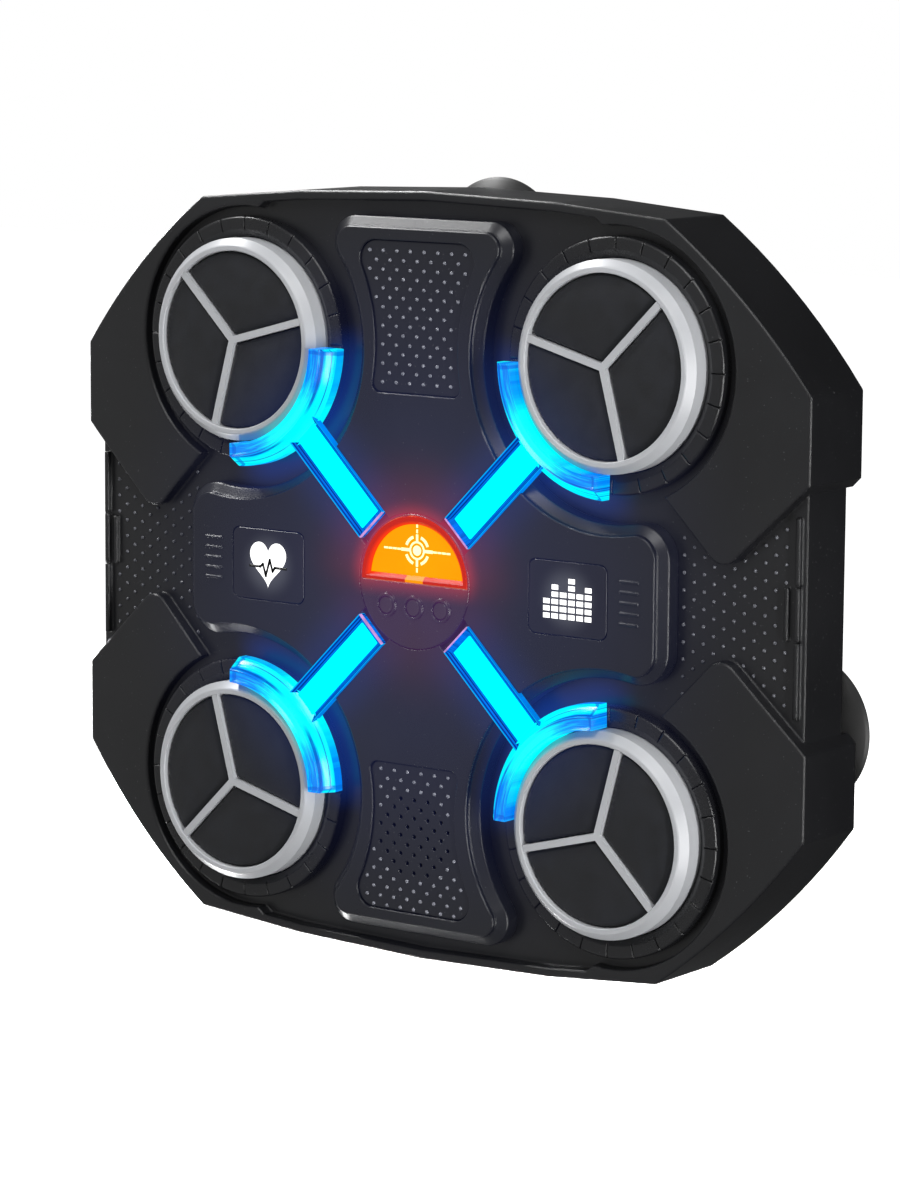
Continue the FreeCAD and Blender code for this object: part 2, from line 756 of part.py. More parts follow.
def make_inlays():
    make_plate("upper_inlay", "UpperInlay", inlay_outline(1, 0.2), S["fascia_out"] - 2.6, 1.7, 0.3)
    grille = make_plate("speaker_grille", "LowerInlay", inlay_outline(-1, 0.2), S["fascia_out"] - 2.6, 1.7, 0.3)
    sketch = sketch_on(grille, "GrilleHoles", S["pad_out"])
    for row in range(-5, 6):
        for column in range(-3, 4):
            x = column * 7.0 + (3.5 if row % 2 else 0.0)
            if x * x + (row * 3.88) ** 2 < 340.0:
                add_circle(sketch, x, S["speaker_z"] + row * 3.88, 0.9)
    sink(grille, sketch)


def make_windows():
    for label, side in (("icon_window_left", -1), ("icon_window_right", 1)):
        make_plate(label, "Pane", window_outline(side, 0.3), S["fascia_out"] - 2.4, 2.6, 0.4)
    body = new_body("window_lamps")
    sketch = sketch_on(body, "LampBoards", S["floor_out"])
    for side in (1, -1):
        add_box(sketch, flip(S["window_x"], side), 0.0, 32.0, 24.0)
    grow(body, sketch, 1.6)
    sketch = sketch_on(body, "LampChips", S["floor_out"] + 1.6)
    for side in (1, -1):
        for dx in (-9.0, 9.0):
            for dz in (-6.0, 6.0):
                add_box(sketch, flip(S["window_x"], side) + dx, dz, 3.5, 3.5)
    grow(body, sketch, 0.8)


# ---------------------------------------------------------------- target pads
def make_pad_bezel(name, x, z):
    """A raised collar round the pad, cut by 24 thin notches."""
    body = new_body("pad_bezel_" + name, x, z)
    inner = S["pad_radius"] + S["pad_clearance"]
    outer = S["bezel_radius"]
    floor = -S["floor_out"]
    front = -S["armour_out"]
    sketch = sketch_on(body, "Collar", plane="XY_Plane")
    add_loop(sketch, [(inner, front + 2.0), (outer - 5.4, front), (outer - 1.4, front, 1.4),
                      (outer, front + 1.4), (outer, floor), (inner, floor)])
    spin(body, sketch)
    sketch = sketch_on(body, "Notch", S["pad_out"])
    add_box(sketch, outer - 2.0, 0.0, 8.0, 0.6)
    notch = sink(body, sketch, S["pad_out"] - S["armour_out"] + 1.2)
    repeat(body, notch, 24)


def make_pad_ring(name, x, z, turn):
    """The grey ring with three spokes, all flush at the front."""
    body = new_body("pad_ring_" + name, x, z, turn)
    outer = S["pad_radius"]
    inner = S["pad_disc_radius"]
    front = -S["pad_out"]
    sketch = sketch_on(body, "RingProfile", plane="XY_Plane")
    crest = outer - 2.7
    add_loop(sketch, [(inner, front + 0.6, 0.6), (inner + 0.6, front), (crest - 0.6, front, 1.4),
                      (crest + 0.3, front + 0.7), (outer, front + 3.4), (outer, -S["carrier_out"]),
                      (inner, -S["carrier_out"])])
    spin(body, sketch)
    sketch = sketch_on(body, "Spoke", S["pad_out"] - 5.0)
    width = S["spoke_width"]
    add_loop(sketch, [(-0.9, -width / 2), (inner + 1.0, -width / 2), (inner + 1.0, width / 2),
                      (-0.9, width / 2)])
    spoke = grow(body, sketch, 4.7)
    repeat(body, spoke, 3)


def make_pad_foam(name, x, z, turn):
    """Three soft sectors between the spokes."""
    body = new_body("pad_foam_" + name, x, z, turn)
    outer = S["pad_disc_radius"] - 0.35
    side = S["spoke_width"] / 2 + 0.3
    reach = round_pad(outer, side)
    third = math.sqrt(0.75)
    sketch = sketch_on(body, "Sector", S["carrier_out"] + 0.3)
    add_loop(sketch, [(side / (2 * third), side), (reach, side, outer),
                      (side * third - reach * 0.5, reach * third + side * 0.5)])
    sector = grow(body, sketch, S["pad_out"] - S["carrier_out"] - 1.1)
    repeat(body, sector, 3)


def make_pad_carrier(name, x, z):
    """The stiff disc behind the pad with its guide stem."""
    body = new_body("pad_carrier_" + name, x, z)
    disc = S["pad_radius"] - 0.5
    stem = S["stem_radius"]
    front = -S["carrier_out"]
    sketch = sketch_on(body, "DiscProfile", plane="XY_Plane")
    add_loop(sketch, [(0.0, front), (disc, front), (disc, front + 2.5), (stem, front + 2.5),
                      (stem, 0.3 - S["sleeve_back"]), (1.5, 0.3 - S["sleeve_back"]),
                      (1.5, -8.0 - S["sleeve_back"]), (0.0, -8.0 - S["sleeve_back"])])
    spin(body, sketch)


def make_pad_screw(name, x, z):
    """The wide-headed screw in the end of the stem that keeps the pad in its sleeve."""
    body = new_body("pad_screw_" + name, x, z)
    top = 0.3 - S["sleeve_back"]
    head = S["stem_radius"] + 2.4
    sketch = sketch_on(body, "ScrewProfile", plane="XY_Plane")
    add_loop(sketch, [(0.0, top - 7.0), (1.45, top - 7.0), (1.45, top), (head, top), (head, top + 1.0),
                      (head - 0.5, top + 1.5), (0.0, top + 1.5)])
    spin(body, sketch)


def make_pad_spring(name, x, z):
    """A coil round the sleeve that pushes the pad out."""
    body = new_body("pad_spring_" + name, x, z)
    wire = 0.6
    gap = S["carrier_out"] - 2.5 - S["well_out"]
    sketch = sketch_on(body, "Wire", plane="XY_Plane")
    add_circle(sketch, S["coil_radius"], -S["well_out"] - wire - 0.1, wire)
    coil = body.newObject("PartDesign::AdditiveHelix", "Coil")
    coil.Profile = sketch
    coil.ReferenceAxis = (sketch, ["V_Axis"])
    coil.Mode = 1
    coil.Turns = 4
    coil.setExpression("Pitch", ((gap - 2 * wire - 0.2) / 4).formula)
    coil.setExpression("Height", (gap - 2 * wire - 0.2).formula)
    coil.Reversed = True
    sketch.Visibility = False
    doc.recompute()


def make_impact_sensors():
    """A small switch block behind each stem."""
    body = new_body("impact_sensors")
    sketch = sketch_on(body, "SensorBlocks", S["cover_front"])
    for x, z in pad_places():
        add_box(sketch, x, z, 16.0, 16.0)
    grow(body, sketch, 5.0)
    sketch = sketch_on(body, "SensorTips", S["cover_front"] + 4.8)
    for x, z in pad_places():
        add_circle(sketch, x, z, 3.0)
    grow(body, sketch, S["sleeve_back"] - 0.3 - 1.5 - S["pad_travel"] - 0.5 - S["cover_front"] - 4.8)


# ---------------------------------------------------------------- lights
def make_light_guide(name, sx, sz):
    """A clear bar along the diagonal that ends in a fork round the pad.

    Drawn from the pad's centre with the bar along local +X, then turned to point at the hub.
    """
    turn = math.degrees(math.atan2(-sz, -sx))
    body = new_body("light_guide_" + name, flip(S["pad_spacing"], sx), flip(S["pad_spacing"], sz), turn)
    inner = S["guide_inner_radius"]
    outer = S["guide_outer_radius"]
    front = -S["guide_out"]
    low = -S["armour_out"] - 0.4
    sketch = sketch_on(body, "Fork", plane="XY_Plane")
    add_loop(sketch, [(inner, front + 1.0, 1.0), (inner + 1.0, front), (inner + 5.4, front, 1.6),
                      (inner + 6.7, front + 0.8), (outer, front + 5.6), (outer, low), (inner, low)])
    spin(body, sketch, 92.0)
    sketch = sketch_on(body, "Bar", S["ledge_out"] - 0.6)
    near = S["pad_spacing"] * math.sqrt(2.0) - S["guide_start"]
    width = S["guide_width"]
    add_loop(sketch, [(inner + 4.0, -width / 2), (near, -width / 2), (near, width / 2), (inner + 4.0, width / 2)])
    grow(body, sketch, S["fascia_out"] + 1.3 - S["ledge_out"] + 0.6)
    soften(body, flat_edges(body, S["fascia_out"] + 1.3), 0.5)


def make_led_strips():
    body = new_body("led_strips")
    sketch = sketch_on(body, "StripBoards", S["floor_out"])
    for sx, sz in CORNERS.values():
        diagonal_box(sketch, sx, sz, S["guide_start"] + 4.0, S["neck_radius"] - 4.0, S["guide_width"] - 6.0)
    grow(body, sketch, 1.6)
    sketch = sketch_on(body, "StripChips", S["floor_out"] + 1.6)
    for sx, sz in CORNERS.values():
        for step in range(4):
            start = S["guide_start"] + 6.0 + step * 7.0
            diagonal_box(sketch, sx, sz, start, start + 4.0, Size(4.0, "4.0"))
    grow(body, sketch, 0.9)


# ---------------------------------------------------------------- hub
def half_moon(radius, low):
    """The upper part of a disc, cut off straight at a height above its centre."""
    side = root(radius * radius - low * low)
    return [(side, low, radius), (0.0, radius, radius), (-side, low)]


def make_hub():
    body = new_body("hub_bezel")
    back = S["ledge_out"] - 3.0
    sketch = sketch_on(body, "HubDisc", back)
    add_circle(sketch, 0.0, 0.0, S["hub_radius"])
    grow(body, sketch, S["fascia_out"] + 0.2 - back)
    soften(body, flat_edges(body, S["fascia_out"] + 0.2), 0.7)
    sketch = sketch_on(body, "ButtonRims", S["fascia_out"] - 1.0)
    for column in (-1, 0, 1):
        add_circle(sketch, S["button_pitch"] * column, S["button_z"], S["button_radius"] + 1.4)
    grow(body, sketch, 2.2)
    soften(body, flat_edges(body, S["fascia_out"] + 1.2), 0.5)
    sketch = sketch_on(body, "HubOpenings", S["pad_out"])
    add_loop(sketch, half_moon(S["lens_radius"] + 0.3, -0.9))
    for column in (-1, 0, 1):
        add_circle(sketch, S["button_pitch"] * column, S["button_z"], S["button_radius"] + 0.3)
    sink(body, sketch)

    body = new_body("hub_lens")
    sketch = sketch_on(body, "LensOutline", back)
    add_loop(sketch, half_moon(S["lens_radius"], -0.6))
    rim = S["fascia_out"] + 0.3
    grow(body, sketch, rim - back)
    soften(body, flat_edges(body, rim), 0.4)
    sketch = sketch_on(body, "LensDish", S["pad_out"])
    add_loop(sketch, half_moon(S["lens_radius"] - 3.4, 2.2))
    sink(body, sketch, S["pad_out"] - rim + 2.2)
    reach = number(S["lens_radius"]) - 3.0
    soften(body, flat_edges(body, rim, lambda spot: math.hypot(spot.x, spot.z) < reach and spot.z > 1.5), 1.6, 1.6)

    body = new_body("hub_lamp")
    sketch = sketch_on(body, "LampBoard", S["floor_out"])
    add_loop(sketch, half_moon(S["lens_radius"] - 4.0, 1.0))
    grow(body, sketch, 1.6)
    sketch = sketch_on(body, "LampChips", S["floor_out"] + 1.6)
    for x, z in ((-12.0, 5.0), (0.0, 5.0), (12.0, 5.0), (-7.0, 13.0), (7.0, 13.0)):
        add_box(sketch, x, z, 3.5, 3.5)
    grow(body, sketch, 0.9)


def make_buttons():
    for label, column in (("button_left", -1), ("button_centre", 0), ("button_right", 1)):
        body = new_body(label, S["button_pitch"] * column, S["button_z"])
        top = -S["fascia_out"] - 0.9
        under = 0.3 - (S["ledge_out"] - 3.0)
        radius = S["button_radius"]
        sketch = sketch_on(body, "CapProfile", plane="XY_Plane")
        add_loop(sketch, [(0.0, top + 0.5), (radius - 1.2, top + 0.3), (radius - 0.5, top, 0.5),
                          (radius, top + 0.5), (radius, under), (radius + 0.9, under),
                          (radius + 0.9, under + 1.0), (0.0, under + 1.0)])
        spin(body, sketch)
    body = new_body("button_board")
    sketch = sketch_on(body, "ButtonBoard", S["floor_out"])
    add_box(sketch, S["button_z"] * 0.0, S["button_z"], 40.0, 11.0)
    grow(body, sketch, 1.6)
    sketch = sketch_on(body, "Switches", S["floor_out"] + 1.6)
    for column in (-1, 0, 1):
        add_box(sketch, S["button_pitch"] * column, S["button_z"], 5.0, 5.0)
    grow(body, sketch, S["ledge_out"] - 3.0 - 1.3 - S["button_travel"] - 0.3 - S["floor_out"] - 1.6)


# ---------------------------------------------------------------- inside and back
def make_inside():
    body = new_body("battery_pack")
    sketch = sketch_on(body, "Cell", S["cover_front"])
    add_box(sketch, S["window_x"] * -0.5, 12.0, 68.0, 38.0)
    grow(body, sketch, 16.0)
    soften(body, flat_edges(body, S["cover_front"] + 16.0), 3.0)

    body = new_body("main_board")
    sketch = sketch_on(body, "Board", S["cover_front"] + 1.0)
    add_box(sketch, S["window_x"] * 0.5, 12.0, 72.0, 52.0)
    grow(body, sketch, 1.6)
    sketch = sketch_on(body, "Chips", S["cover_front"] + 2.6)
    for dx, dz, width, height in ((-18.0, 8.0, 14.0, 14.0), (8.0, 14.0, 9.0, 6.0), (20.0, -6.0, 12.0, 7.0),
                                  (-6.0, -14.0, 8.0, 8.0)):
        add_box(sketch, S["window_x"] * 0.5 + dx, 12.0 + dz, width, height)
    grow(body, sketch, 2.4)
    sketch = sketch_on(body, "BoardFeet", S["cover_front"])
    for dx in (-31.0, 31.0):
        for dz in (-21.0, 21.0):
            add_circle(sketch, S["window_x"] * 0.5 + dx, 12.0 + dz, 2.5)
    grow(body, sketch, 1.2)

    body = new_body("speaker", 0.0, S["speaker_z"])
    front = -S["hollow_front"]
    sketch = sketch_on(body, "Driver", plane="XY_Plane")
    add_loop(sketch, [(0.0, front + 4.0), (8.0, front + 5.0), (18.0, front + 0.8), (22.0, front),
                      (24.0, front), (24.0, front + 2.4), (14.0, front + 9.0), (14.0, front + 15.0),
                      (0.0, front + 15.0)])
    spin(body, sketch)

    body = new_body("charging_port")
    sketch = sketch_on(body, "PortShell", -S["half_height"] + 0.8, "XY_Plane")
    add_box(sketch, S["window_x"] * 0.0, -25.0, 9.0, 3.2)
    grow(body, sketch, 7.5)
    sketch = sketch_on(body, "PortMouth", -S["half_height"] + 0.8, "XY_Plane")
    add_box(sketch, S["window_x"] * 0.0, -25.0, 8.2, 2.4)
    sink(body, sketch, 5.5, front=True)
    sketch = sketch_on(body, "PortFoot", S["cover_front"])
    add_box(sketch, S["window_x"] * 0.0, -S["half_height"] + 6.5, 7.0, 3.0)
    grow(body, sketch, 25.0 - 1.0 - S["cover_front"])


def make_suction_cups():
    for label, (x, z) in zip(("suction_cup_top", "suction_cup_left", "suction_cup_right"), cup_places()):
        body = new_body(label, x, z)
        lip = S["cup_radius"]
        plate = -S["cover_back"]
        sketch = sketch_on(body, "CupProfile", plane="XY_Plane")
        inside = -S["cover_front"] - 0.3
        add_loop(sketch, [(0.0, inside - 3.4), (4.6, inside - 3.4), (7.4, inside - 1.0), (7.4, inside),
                          (5.4, inside), (5.4, plate + 0.4), (9.6, plate + 0.4), (10.6, plate + 2.6, 38.0),
                          (lip - 1.0, -1.6), (lip, -0.6), (lip, 0.0), (lip - 3.0, 0.0, -60.0),
                          (6.0, plate + 5.4), (0.0, plate + 5.4)])
        spin(body, sketch)


# ---------------------------------------------------------------- build
def build():
    make_front_shell()
    make_rear_cover()
    make_cover_screws()
    make_center_fascia()
    make_inlays()
    make_windows()
    spoke_turn = {"upper_right": 45.0, "upper_left": 15.0, "lower_left": 105.0, "lower_right": 75.0}
    for name, (sx, sz) in CORNERS.items():
        x, z = flip(S["pad_spacing"], sx), flip(S["pad_spacing"], sz)
        make_pad_bezel(name, x, z)
        make_pad_ring(name, x, z, spoke_turn[name])
        make_pad_foam(name, x, z, spoke_turn[name])
        make_pad_carrier(name, x, z)
        make_pad_screw(name, x, z)
        make_pad_spring(name, x, z)
        make_light_guide(name, sx, sz)
    make_impact_sensors()
    make_led_strips()
    make_hub()
    make_buttons()
    make_inside()
    make_suction_cups()
    doc.recompute()


def check():
    for item in doc.Objects:
        if "Invalid" in item.State or "Error" in item.State:
            raise RuntimeError("%s: %s" % (item.Name, item.State))
    for item in PARTS:
        if item.Shape.isNull() or not item.Shape.isValid() or not item.Shape.Solids:
            raise RuntimeError("%s has no sound shape" % item.Label)


def export():
    os.makedirs("parts", exist_ok=True)
    for item in PARTS:
        item.Shape.exportStep("parts/%s.step" % item.Label)


build()
check()
export()
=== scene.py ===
"""Finish and lit details of a wall-hung boxing target with four pads, light guides and a hub."""

import math

import bmesh
import bpy
from mathutils import Matrix, Vector


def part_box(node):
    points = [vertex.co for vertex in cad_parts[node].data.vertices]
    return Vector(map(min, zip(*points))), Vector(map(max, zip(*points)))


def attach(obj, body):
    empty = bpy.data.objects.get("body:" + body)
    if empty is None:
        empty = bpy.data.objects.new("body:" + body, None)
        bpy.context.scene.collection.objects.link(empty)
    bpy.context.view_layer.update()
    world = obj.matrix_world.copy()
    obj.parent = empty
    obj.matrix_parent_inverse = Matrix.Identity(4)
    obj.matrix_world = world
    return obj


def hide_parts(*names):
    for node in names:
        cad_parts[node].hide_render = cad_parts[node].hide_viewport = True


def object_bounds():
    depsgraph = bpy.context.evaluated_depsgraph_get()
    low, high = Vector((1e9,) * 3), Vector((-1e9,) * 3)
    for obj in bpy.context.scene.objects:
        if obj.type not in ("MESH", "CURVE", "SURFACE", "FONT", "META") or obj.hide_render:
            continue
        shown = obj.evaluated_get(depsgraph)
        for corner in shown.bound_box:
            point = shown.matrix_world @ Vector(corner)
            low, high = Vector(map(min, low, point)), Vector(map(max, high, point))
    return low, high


bl_info = {
    "name": "Boxing target finish",
    "version": (1, 0, 0),
    "blender": (4, 5, 0),
    "location": "3D View > Sidebar > Boxing Target",
    "description": "Materials, soft pads, light guides and lit symbols for a boxing target",
    "category": "Object",
}

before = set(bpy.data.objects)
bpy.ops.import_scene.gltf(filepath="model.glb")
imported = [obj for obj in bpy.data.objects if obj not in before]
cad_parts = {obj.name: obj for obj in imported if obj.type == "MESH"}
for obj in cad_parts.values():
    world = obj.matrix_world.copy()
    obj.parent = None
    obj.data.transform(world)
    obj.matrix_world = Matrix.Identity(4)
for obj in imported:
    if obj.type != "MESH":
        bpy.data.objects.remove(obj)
CAD_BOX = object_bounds()
MM = 0.001

CORNERS = {"upper_right": (1, 1), "upper_left": (-1, 1), "lower_left": (-1, -1), "lower_right": (1, -1)}


# ---------------------------------------------------------------- places read from the frame
def middle(node):
    """Middle of a CAD node's box."""
    low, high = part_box(node)
    return (low + high) / 2


def front_of(node):
    """How far forward a CAD node reaches; forward is toward -Y."""
    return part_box(node)[0].y


PAD_CENTRES = {name: middle("pad_ring_" + name) for name in CORNERS}
PAD_X = PAD_CENTRES["upper_right"].x
HUB_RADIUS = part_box("hub_bezel")[1].x
RING_RADIUS = (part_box("pad_ring_upper_right")[1].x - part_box("pad_ring_upper_right")[0].x) / 2
FORK_IN = RING_RADIUS + 0.6 * MM
FORK_OUT = RING_RADIUS + 10.9 * MM
FORK_STEP = FORK_IN + 5.6 * MM
GUIDE_FRONT = front_of("light_guide_upper_right")
GUIDE_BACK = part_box("light_guide_upper_right")[1].y
FASCIA_FRONT = front_of("center_fascia")
BAR_FRONT = FASCIA_FRONT - 0.4 * MM
BAR_WIDTH = 17.0 * MM
SYMBOL_SKIN = 0.10 * MM
IN_FRONT = -0.2


# ---------------------------------------------------------------- sizes and colours a user may change
def number(name, text, default, **kind):
    return bpy.props.FloatProperty(name=name, description=text, default=default, **kind)


def length(name, text, default):
    return number(name, text, default, unit="LENGTH", precision=5)


def angle(name, text, degrees):
    return number(name, text, math.radians(degrees), subtype="ANGLE")


def power(name, text, watts):
    return number(name, text, watts, unit="POWER")


def colour(name, text, default):
    return bpy.props.FloatVectorProperty(
        name=name, description=text, default=default, size=3, subtype="COLOR", min=0.0, max=1.0)


class StageSettings(bpy.types.PropertyGroup):
    """Camera, floor and lights."""

    azimuth: angle("Azimuth", "Turn of the camera round the target", 36.444)
    elevation: angle("Elevation", "Height angle of the camera", 8.546)
    roll: angle("Roll", "Lean of the camera", 0.395)
    distance: length("Distance", "From the camera to the point it looks at", 1.76163)
    target: bpy.props.FloatVectorProperty(
        name="Aim", description="Point the camera looks at", default=(0.021103, -0.0625, -0.005243),
        size=3, subtype="XYZ", unit="LENGTH")
    lens: number("Lens", "Focal length in millimetres", 128.64)
    floor_drop: length("Floor drop", "From the bottom edge down to the floor", 0.22)
    floor_colour: colour("Floor colour", "Colour of the plain floor", (0.92, 0.92, 0.92))
    front_room: number("Front of the room", "Brightness of the walls in front on the left", 0.56)
    back_room: number("Back of the room", "Brightness of the walls behind on the right", 0.05)
    key_power: power("Key light", "Power of the softbox in front and above", 15.0)
    top_power: power("Top light", "Power of the strip above", 30.0)
    side_power: power("Side light", "Power of the strip on the right", 22.0)
    rear_power: power("Rear light", "Power of the strip behind on the left", 70.0)
    low_power: power("Low light", "Power of the strip below", 34.0)


class FinishSettings(bpy.types.PropertyGroup):
    """Colours of the moulded plastics, rubber and metal."""

    shell: colour("Shell", "Housing and collars", (0.0078, 0.0080, 0.0092))
    cover: colour("Cover", "Rear cover", (0.009, 0.009, 0.010))
    fascia: colour("Fascia", "Raised centre plate", (0.0075, 0.0080, 0.0105))
    ring: colour("Pad ring", "Grey ring and spokes", (0.44, 0.45, 0.47))
    rubber: colour("Rubber", "Suction cups", (0.006, 0.006, 0.006))
    amber: colour("Lens face", "Lit face of the hub lens", (1.0, 0.345, 0.0))
    ember: colour("Lens edge", "Lit edge of the hub lens", (0.90, 0.045, 0.004))
    grain: length("Grain", "Size of the grain on the moulded plastics", 0.0007)


class PadSettings(bpy.types.PropertyGroup):
    """The soft sectors of the four pads."""

    crown: length("Crown", "Most the middle of a sector swells", 0.0007)
    voxel: length("Voxel", "Fineness of the sector meshes", 0.0014)
    foam: colour("Foam", "Colour of the soft sectors", (0.0070, 0.0078, 0.0105))


class GuideSettings(bpy.types.PropertyGroup):
    """The clear light guides and their glowing cores."""

    core_width: length("Core width", "Width of the glowing strip in the bar", 0.0112)
    wall: length("Wall", "Width of the clear walls beside the strip", 0.0022)
    spread: angle("Spread", "Half angle of the fork round the pad", 43.8)
    glow: colour("Glow", "Brightest light in the guides", (0.0, 1.0, 1.0))
    clear: colour("Clear blue", "Light at the edges of the guides", (0.0, 0.20, 1.0))
    strength: number("Strength", "Strength of the light", 1.25)


class SymbolSettings(bpy.types.PropertyGroup):
    """Crosshair, heart and level bars."""

    reticle_z: length("Reticle height", "Middle of the crosshair above the hub's middle", 0.0128)
    heart_width: length("Heart width", "Width of the lit heart", 0.0195)
    line: length("Line", "Width of the pulse line", 0.0011)
    white: colour("White", "Light of the symbols", (1.0, 1.0, 1.0))
    cream: colour("Cream", "Light of the crosshair", (1.0, 0.93, 0.42))


class DotSettings(bpy.types.PropertyGroup):
    """Small raised grip dots."""

    dot_radius: length("Dot radius", "Radius of a raised dot", 0.00085)
    side_pitch: length("Side pitch", "Between columns on the side panels", 0.00465)
    side_step: length("Side step", "Between dots in a column", 0.0070)
    inlay_pitch: length("Inlay pitch", "Between rows on the inlays", 0.00388)
    inlay_step: length("Inlay step", "Between dots in a row", 0.0070)


# ---------------------------------------------------------------- modelling helpers
def start():
    """Object mode with nothing selected."""
    if bpy.context.object and bpy.context.object.mode != "OBJECT":
        bpy.ops.object.mode_set(mode="OBJECT")
    bpy.ops.object.select_all(action="DESELECT")


def named(name):
    piece = bpy.context.active_object
    piece.name = name
    piece.data.name = name
    return piece


def only(piece):
    """Makes this the only selected and active object."""
    start()
    piece.select_set(True)
    bpy.context.view_layer.objects.active = piece


def set_place(piece):
    """Puts a piece's place in its mesh."""
    only(piece)
    bpy.ops.object.transform_apply(location=True, rotation=True, scale=True)


def edit():
    bpy.ops.object.mode_set(mode="EDIT")
    bpy.ops.mesh.select_mode(type="FACE")
    bpy.ops.mesh.select_all(action="SELECT")


def pick(piece, kind, wanted):
    """In edit mode, selects only the faces, edges or vertices for which wanted says so."""
    bpy.ops.mesh.select_mode(type={"faces": "FACE", "edges": "EDGE", "verts": "VERT"}[kind])
    bpy.ops.mesh.select_all(action="DESELECT")
    cage = bmesh.from_edit_mesh(piece.data)
    found = 0
    for item in getattr(cage, kind):
        if wanted(item):
            item.select_set(True)
            found += 1
    cage.select_flush_mode()
    bmesh.update_edit_mesh(piece.data)
    if not found:
        raise RuntimeError("nothing to pick on " + piece.name)


def close_up(piece):
    """Merges doubles and turns the faces outward."""
    only(piece)
    edit()
    bpy.ops.mesh.remove_doubles(threshold=0.00001)
    bpy.ops.mesh.normals_make_consistent(inside=False)
    bpy.ops.object.mode_set(mode="OBJECT")


def smooth(piece, angle=35.0):
    only(piece)
    bpy.ops.object.shade_smooth_by_angle(angle=math.radians(angle))


def apply(piece, modifier):
    only(piece)
    bpy.ops.object.modifier_apply(modifier=modifier.name)


def bevelled(piece, width, segments=2, angle=40.0):
    """Rounds every edge sharper than the angle."""
    modifier = piece.modifiers.new("Rounded", "BEVEL")
    modifier.width = width
    modifier.segments = segments
    modifier.limit_method = "ANGLE"
    modifier.angle_limit = math.radians(angle)
    apply(piece, modifier)


def joined(pieces, name):
    start()
    for piece in pieces:
        piece.select_set(True)
    bpy.context.view_layer.objects.active = pieces[0]
    if len(pieces) > 1:
        bpy.ops.object.join()
    return named(name)


def copied(piece, name):
    """A copy with its own mesh."""
    twin = piece.copy()
    twin.data = piece.data.copy()
    twin.name = name
    twin.data.name = name
    bpy.context.scene.collection.objects.link(twin)
    return twin


def moved(piece, matrix):
    """Moves a piece's mesh."""
    piece.data.transform(matrix)
    piece.data.update()


def block(name, centre, size):
    """A box with its place in its mesh."""
    start()
    bpy.ops.mesh.primitive_cube_add(size=1.0, location=centre, scale=size)
    piece = named(name)
    set_place(piece)
    return piece


def toward_hub(name):
    """Turn about the pad's axis that takes local +X to the direction of the hub."""
    sx, sz = CORNERS[name]
    return Matrix.Rotation(-math.atan2(-sz, -sx), 4, "Y")


def put_on_pad(piece, name):
    """Takes a piece drawn round the origin, with the hub along +X, to its corner."""
    centre = PAD_CENTRES[name]
    moved(piece, Matrix.Translation((centre.x, 0.0, centre.z)) @ toward_hub(name))


# ---------------------------------------------------------------- material helpers
class Tree:
    """A node tree with short ways to add and link nodes."""

    def __init__(self, tree):
        self.tree = tree

    def put(self, socket, value):
        """Links an output to a socket, or sets the socket to a plain value."""
        if isinstance(value, bpy.types.NodeSocket):
            self.tree.links.new(value, socket)
        elif socket.type == "RGBA":
            socket.default_value = (*value, 1.0)
        else:
            socket.default_value = value

    def add(self, kind, inputs=None, **values):
        node = self.tree.nodes.new(kind)
        for key, value in values.items():
            setattr(node, key, value)
        for key, value in (inputs or {}).items():
            self.put(node.inputs[key], value)
        return node

    def spread(self, value, low, high, new_low=0.0, new_high=1.0, curve="LINEAR"):
        """Maps a value from one span to another, held at the ends."""
        spans = {"Value": value, "From Min": low, "From Max": high, "To Min": new_low, "To Max": new_high}
        node = self.add("ShaderNodeMapRange", spans, clamp=True, interpolation_type=curve)
        return node.outputs["Result"]

    def eased(self, value, low, high, new_low=0.0, new_high=1.0):
        """As spread, but easing in and out."""
        return self.spread(value, low, high, new_low, new_high, "SMOOTHSTEP")


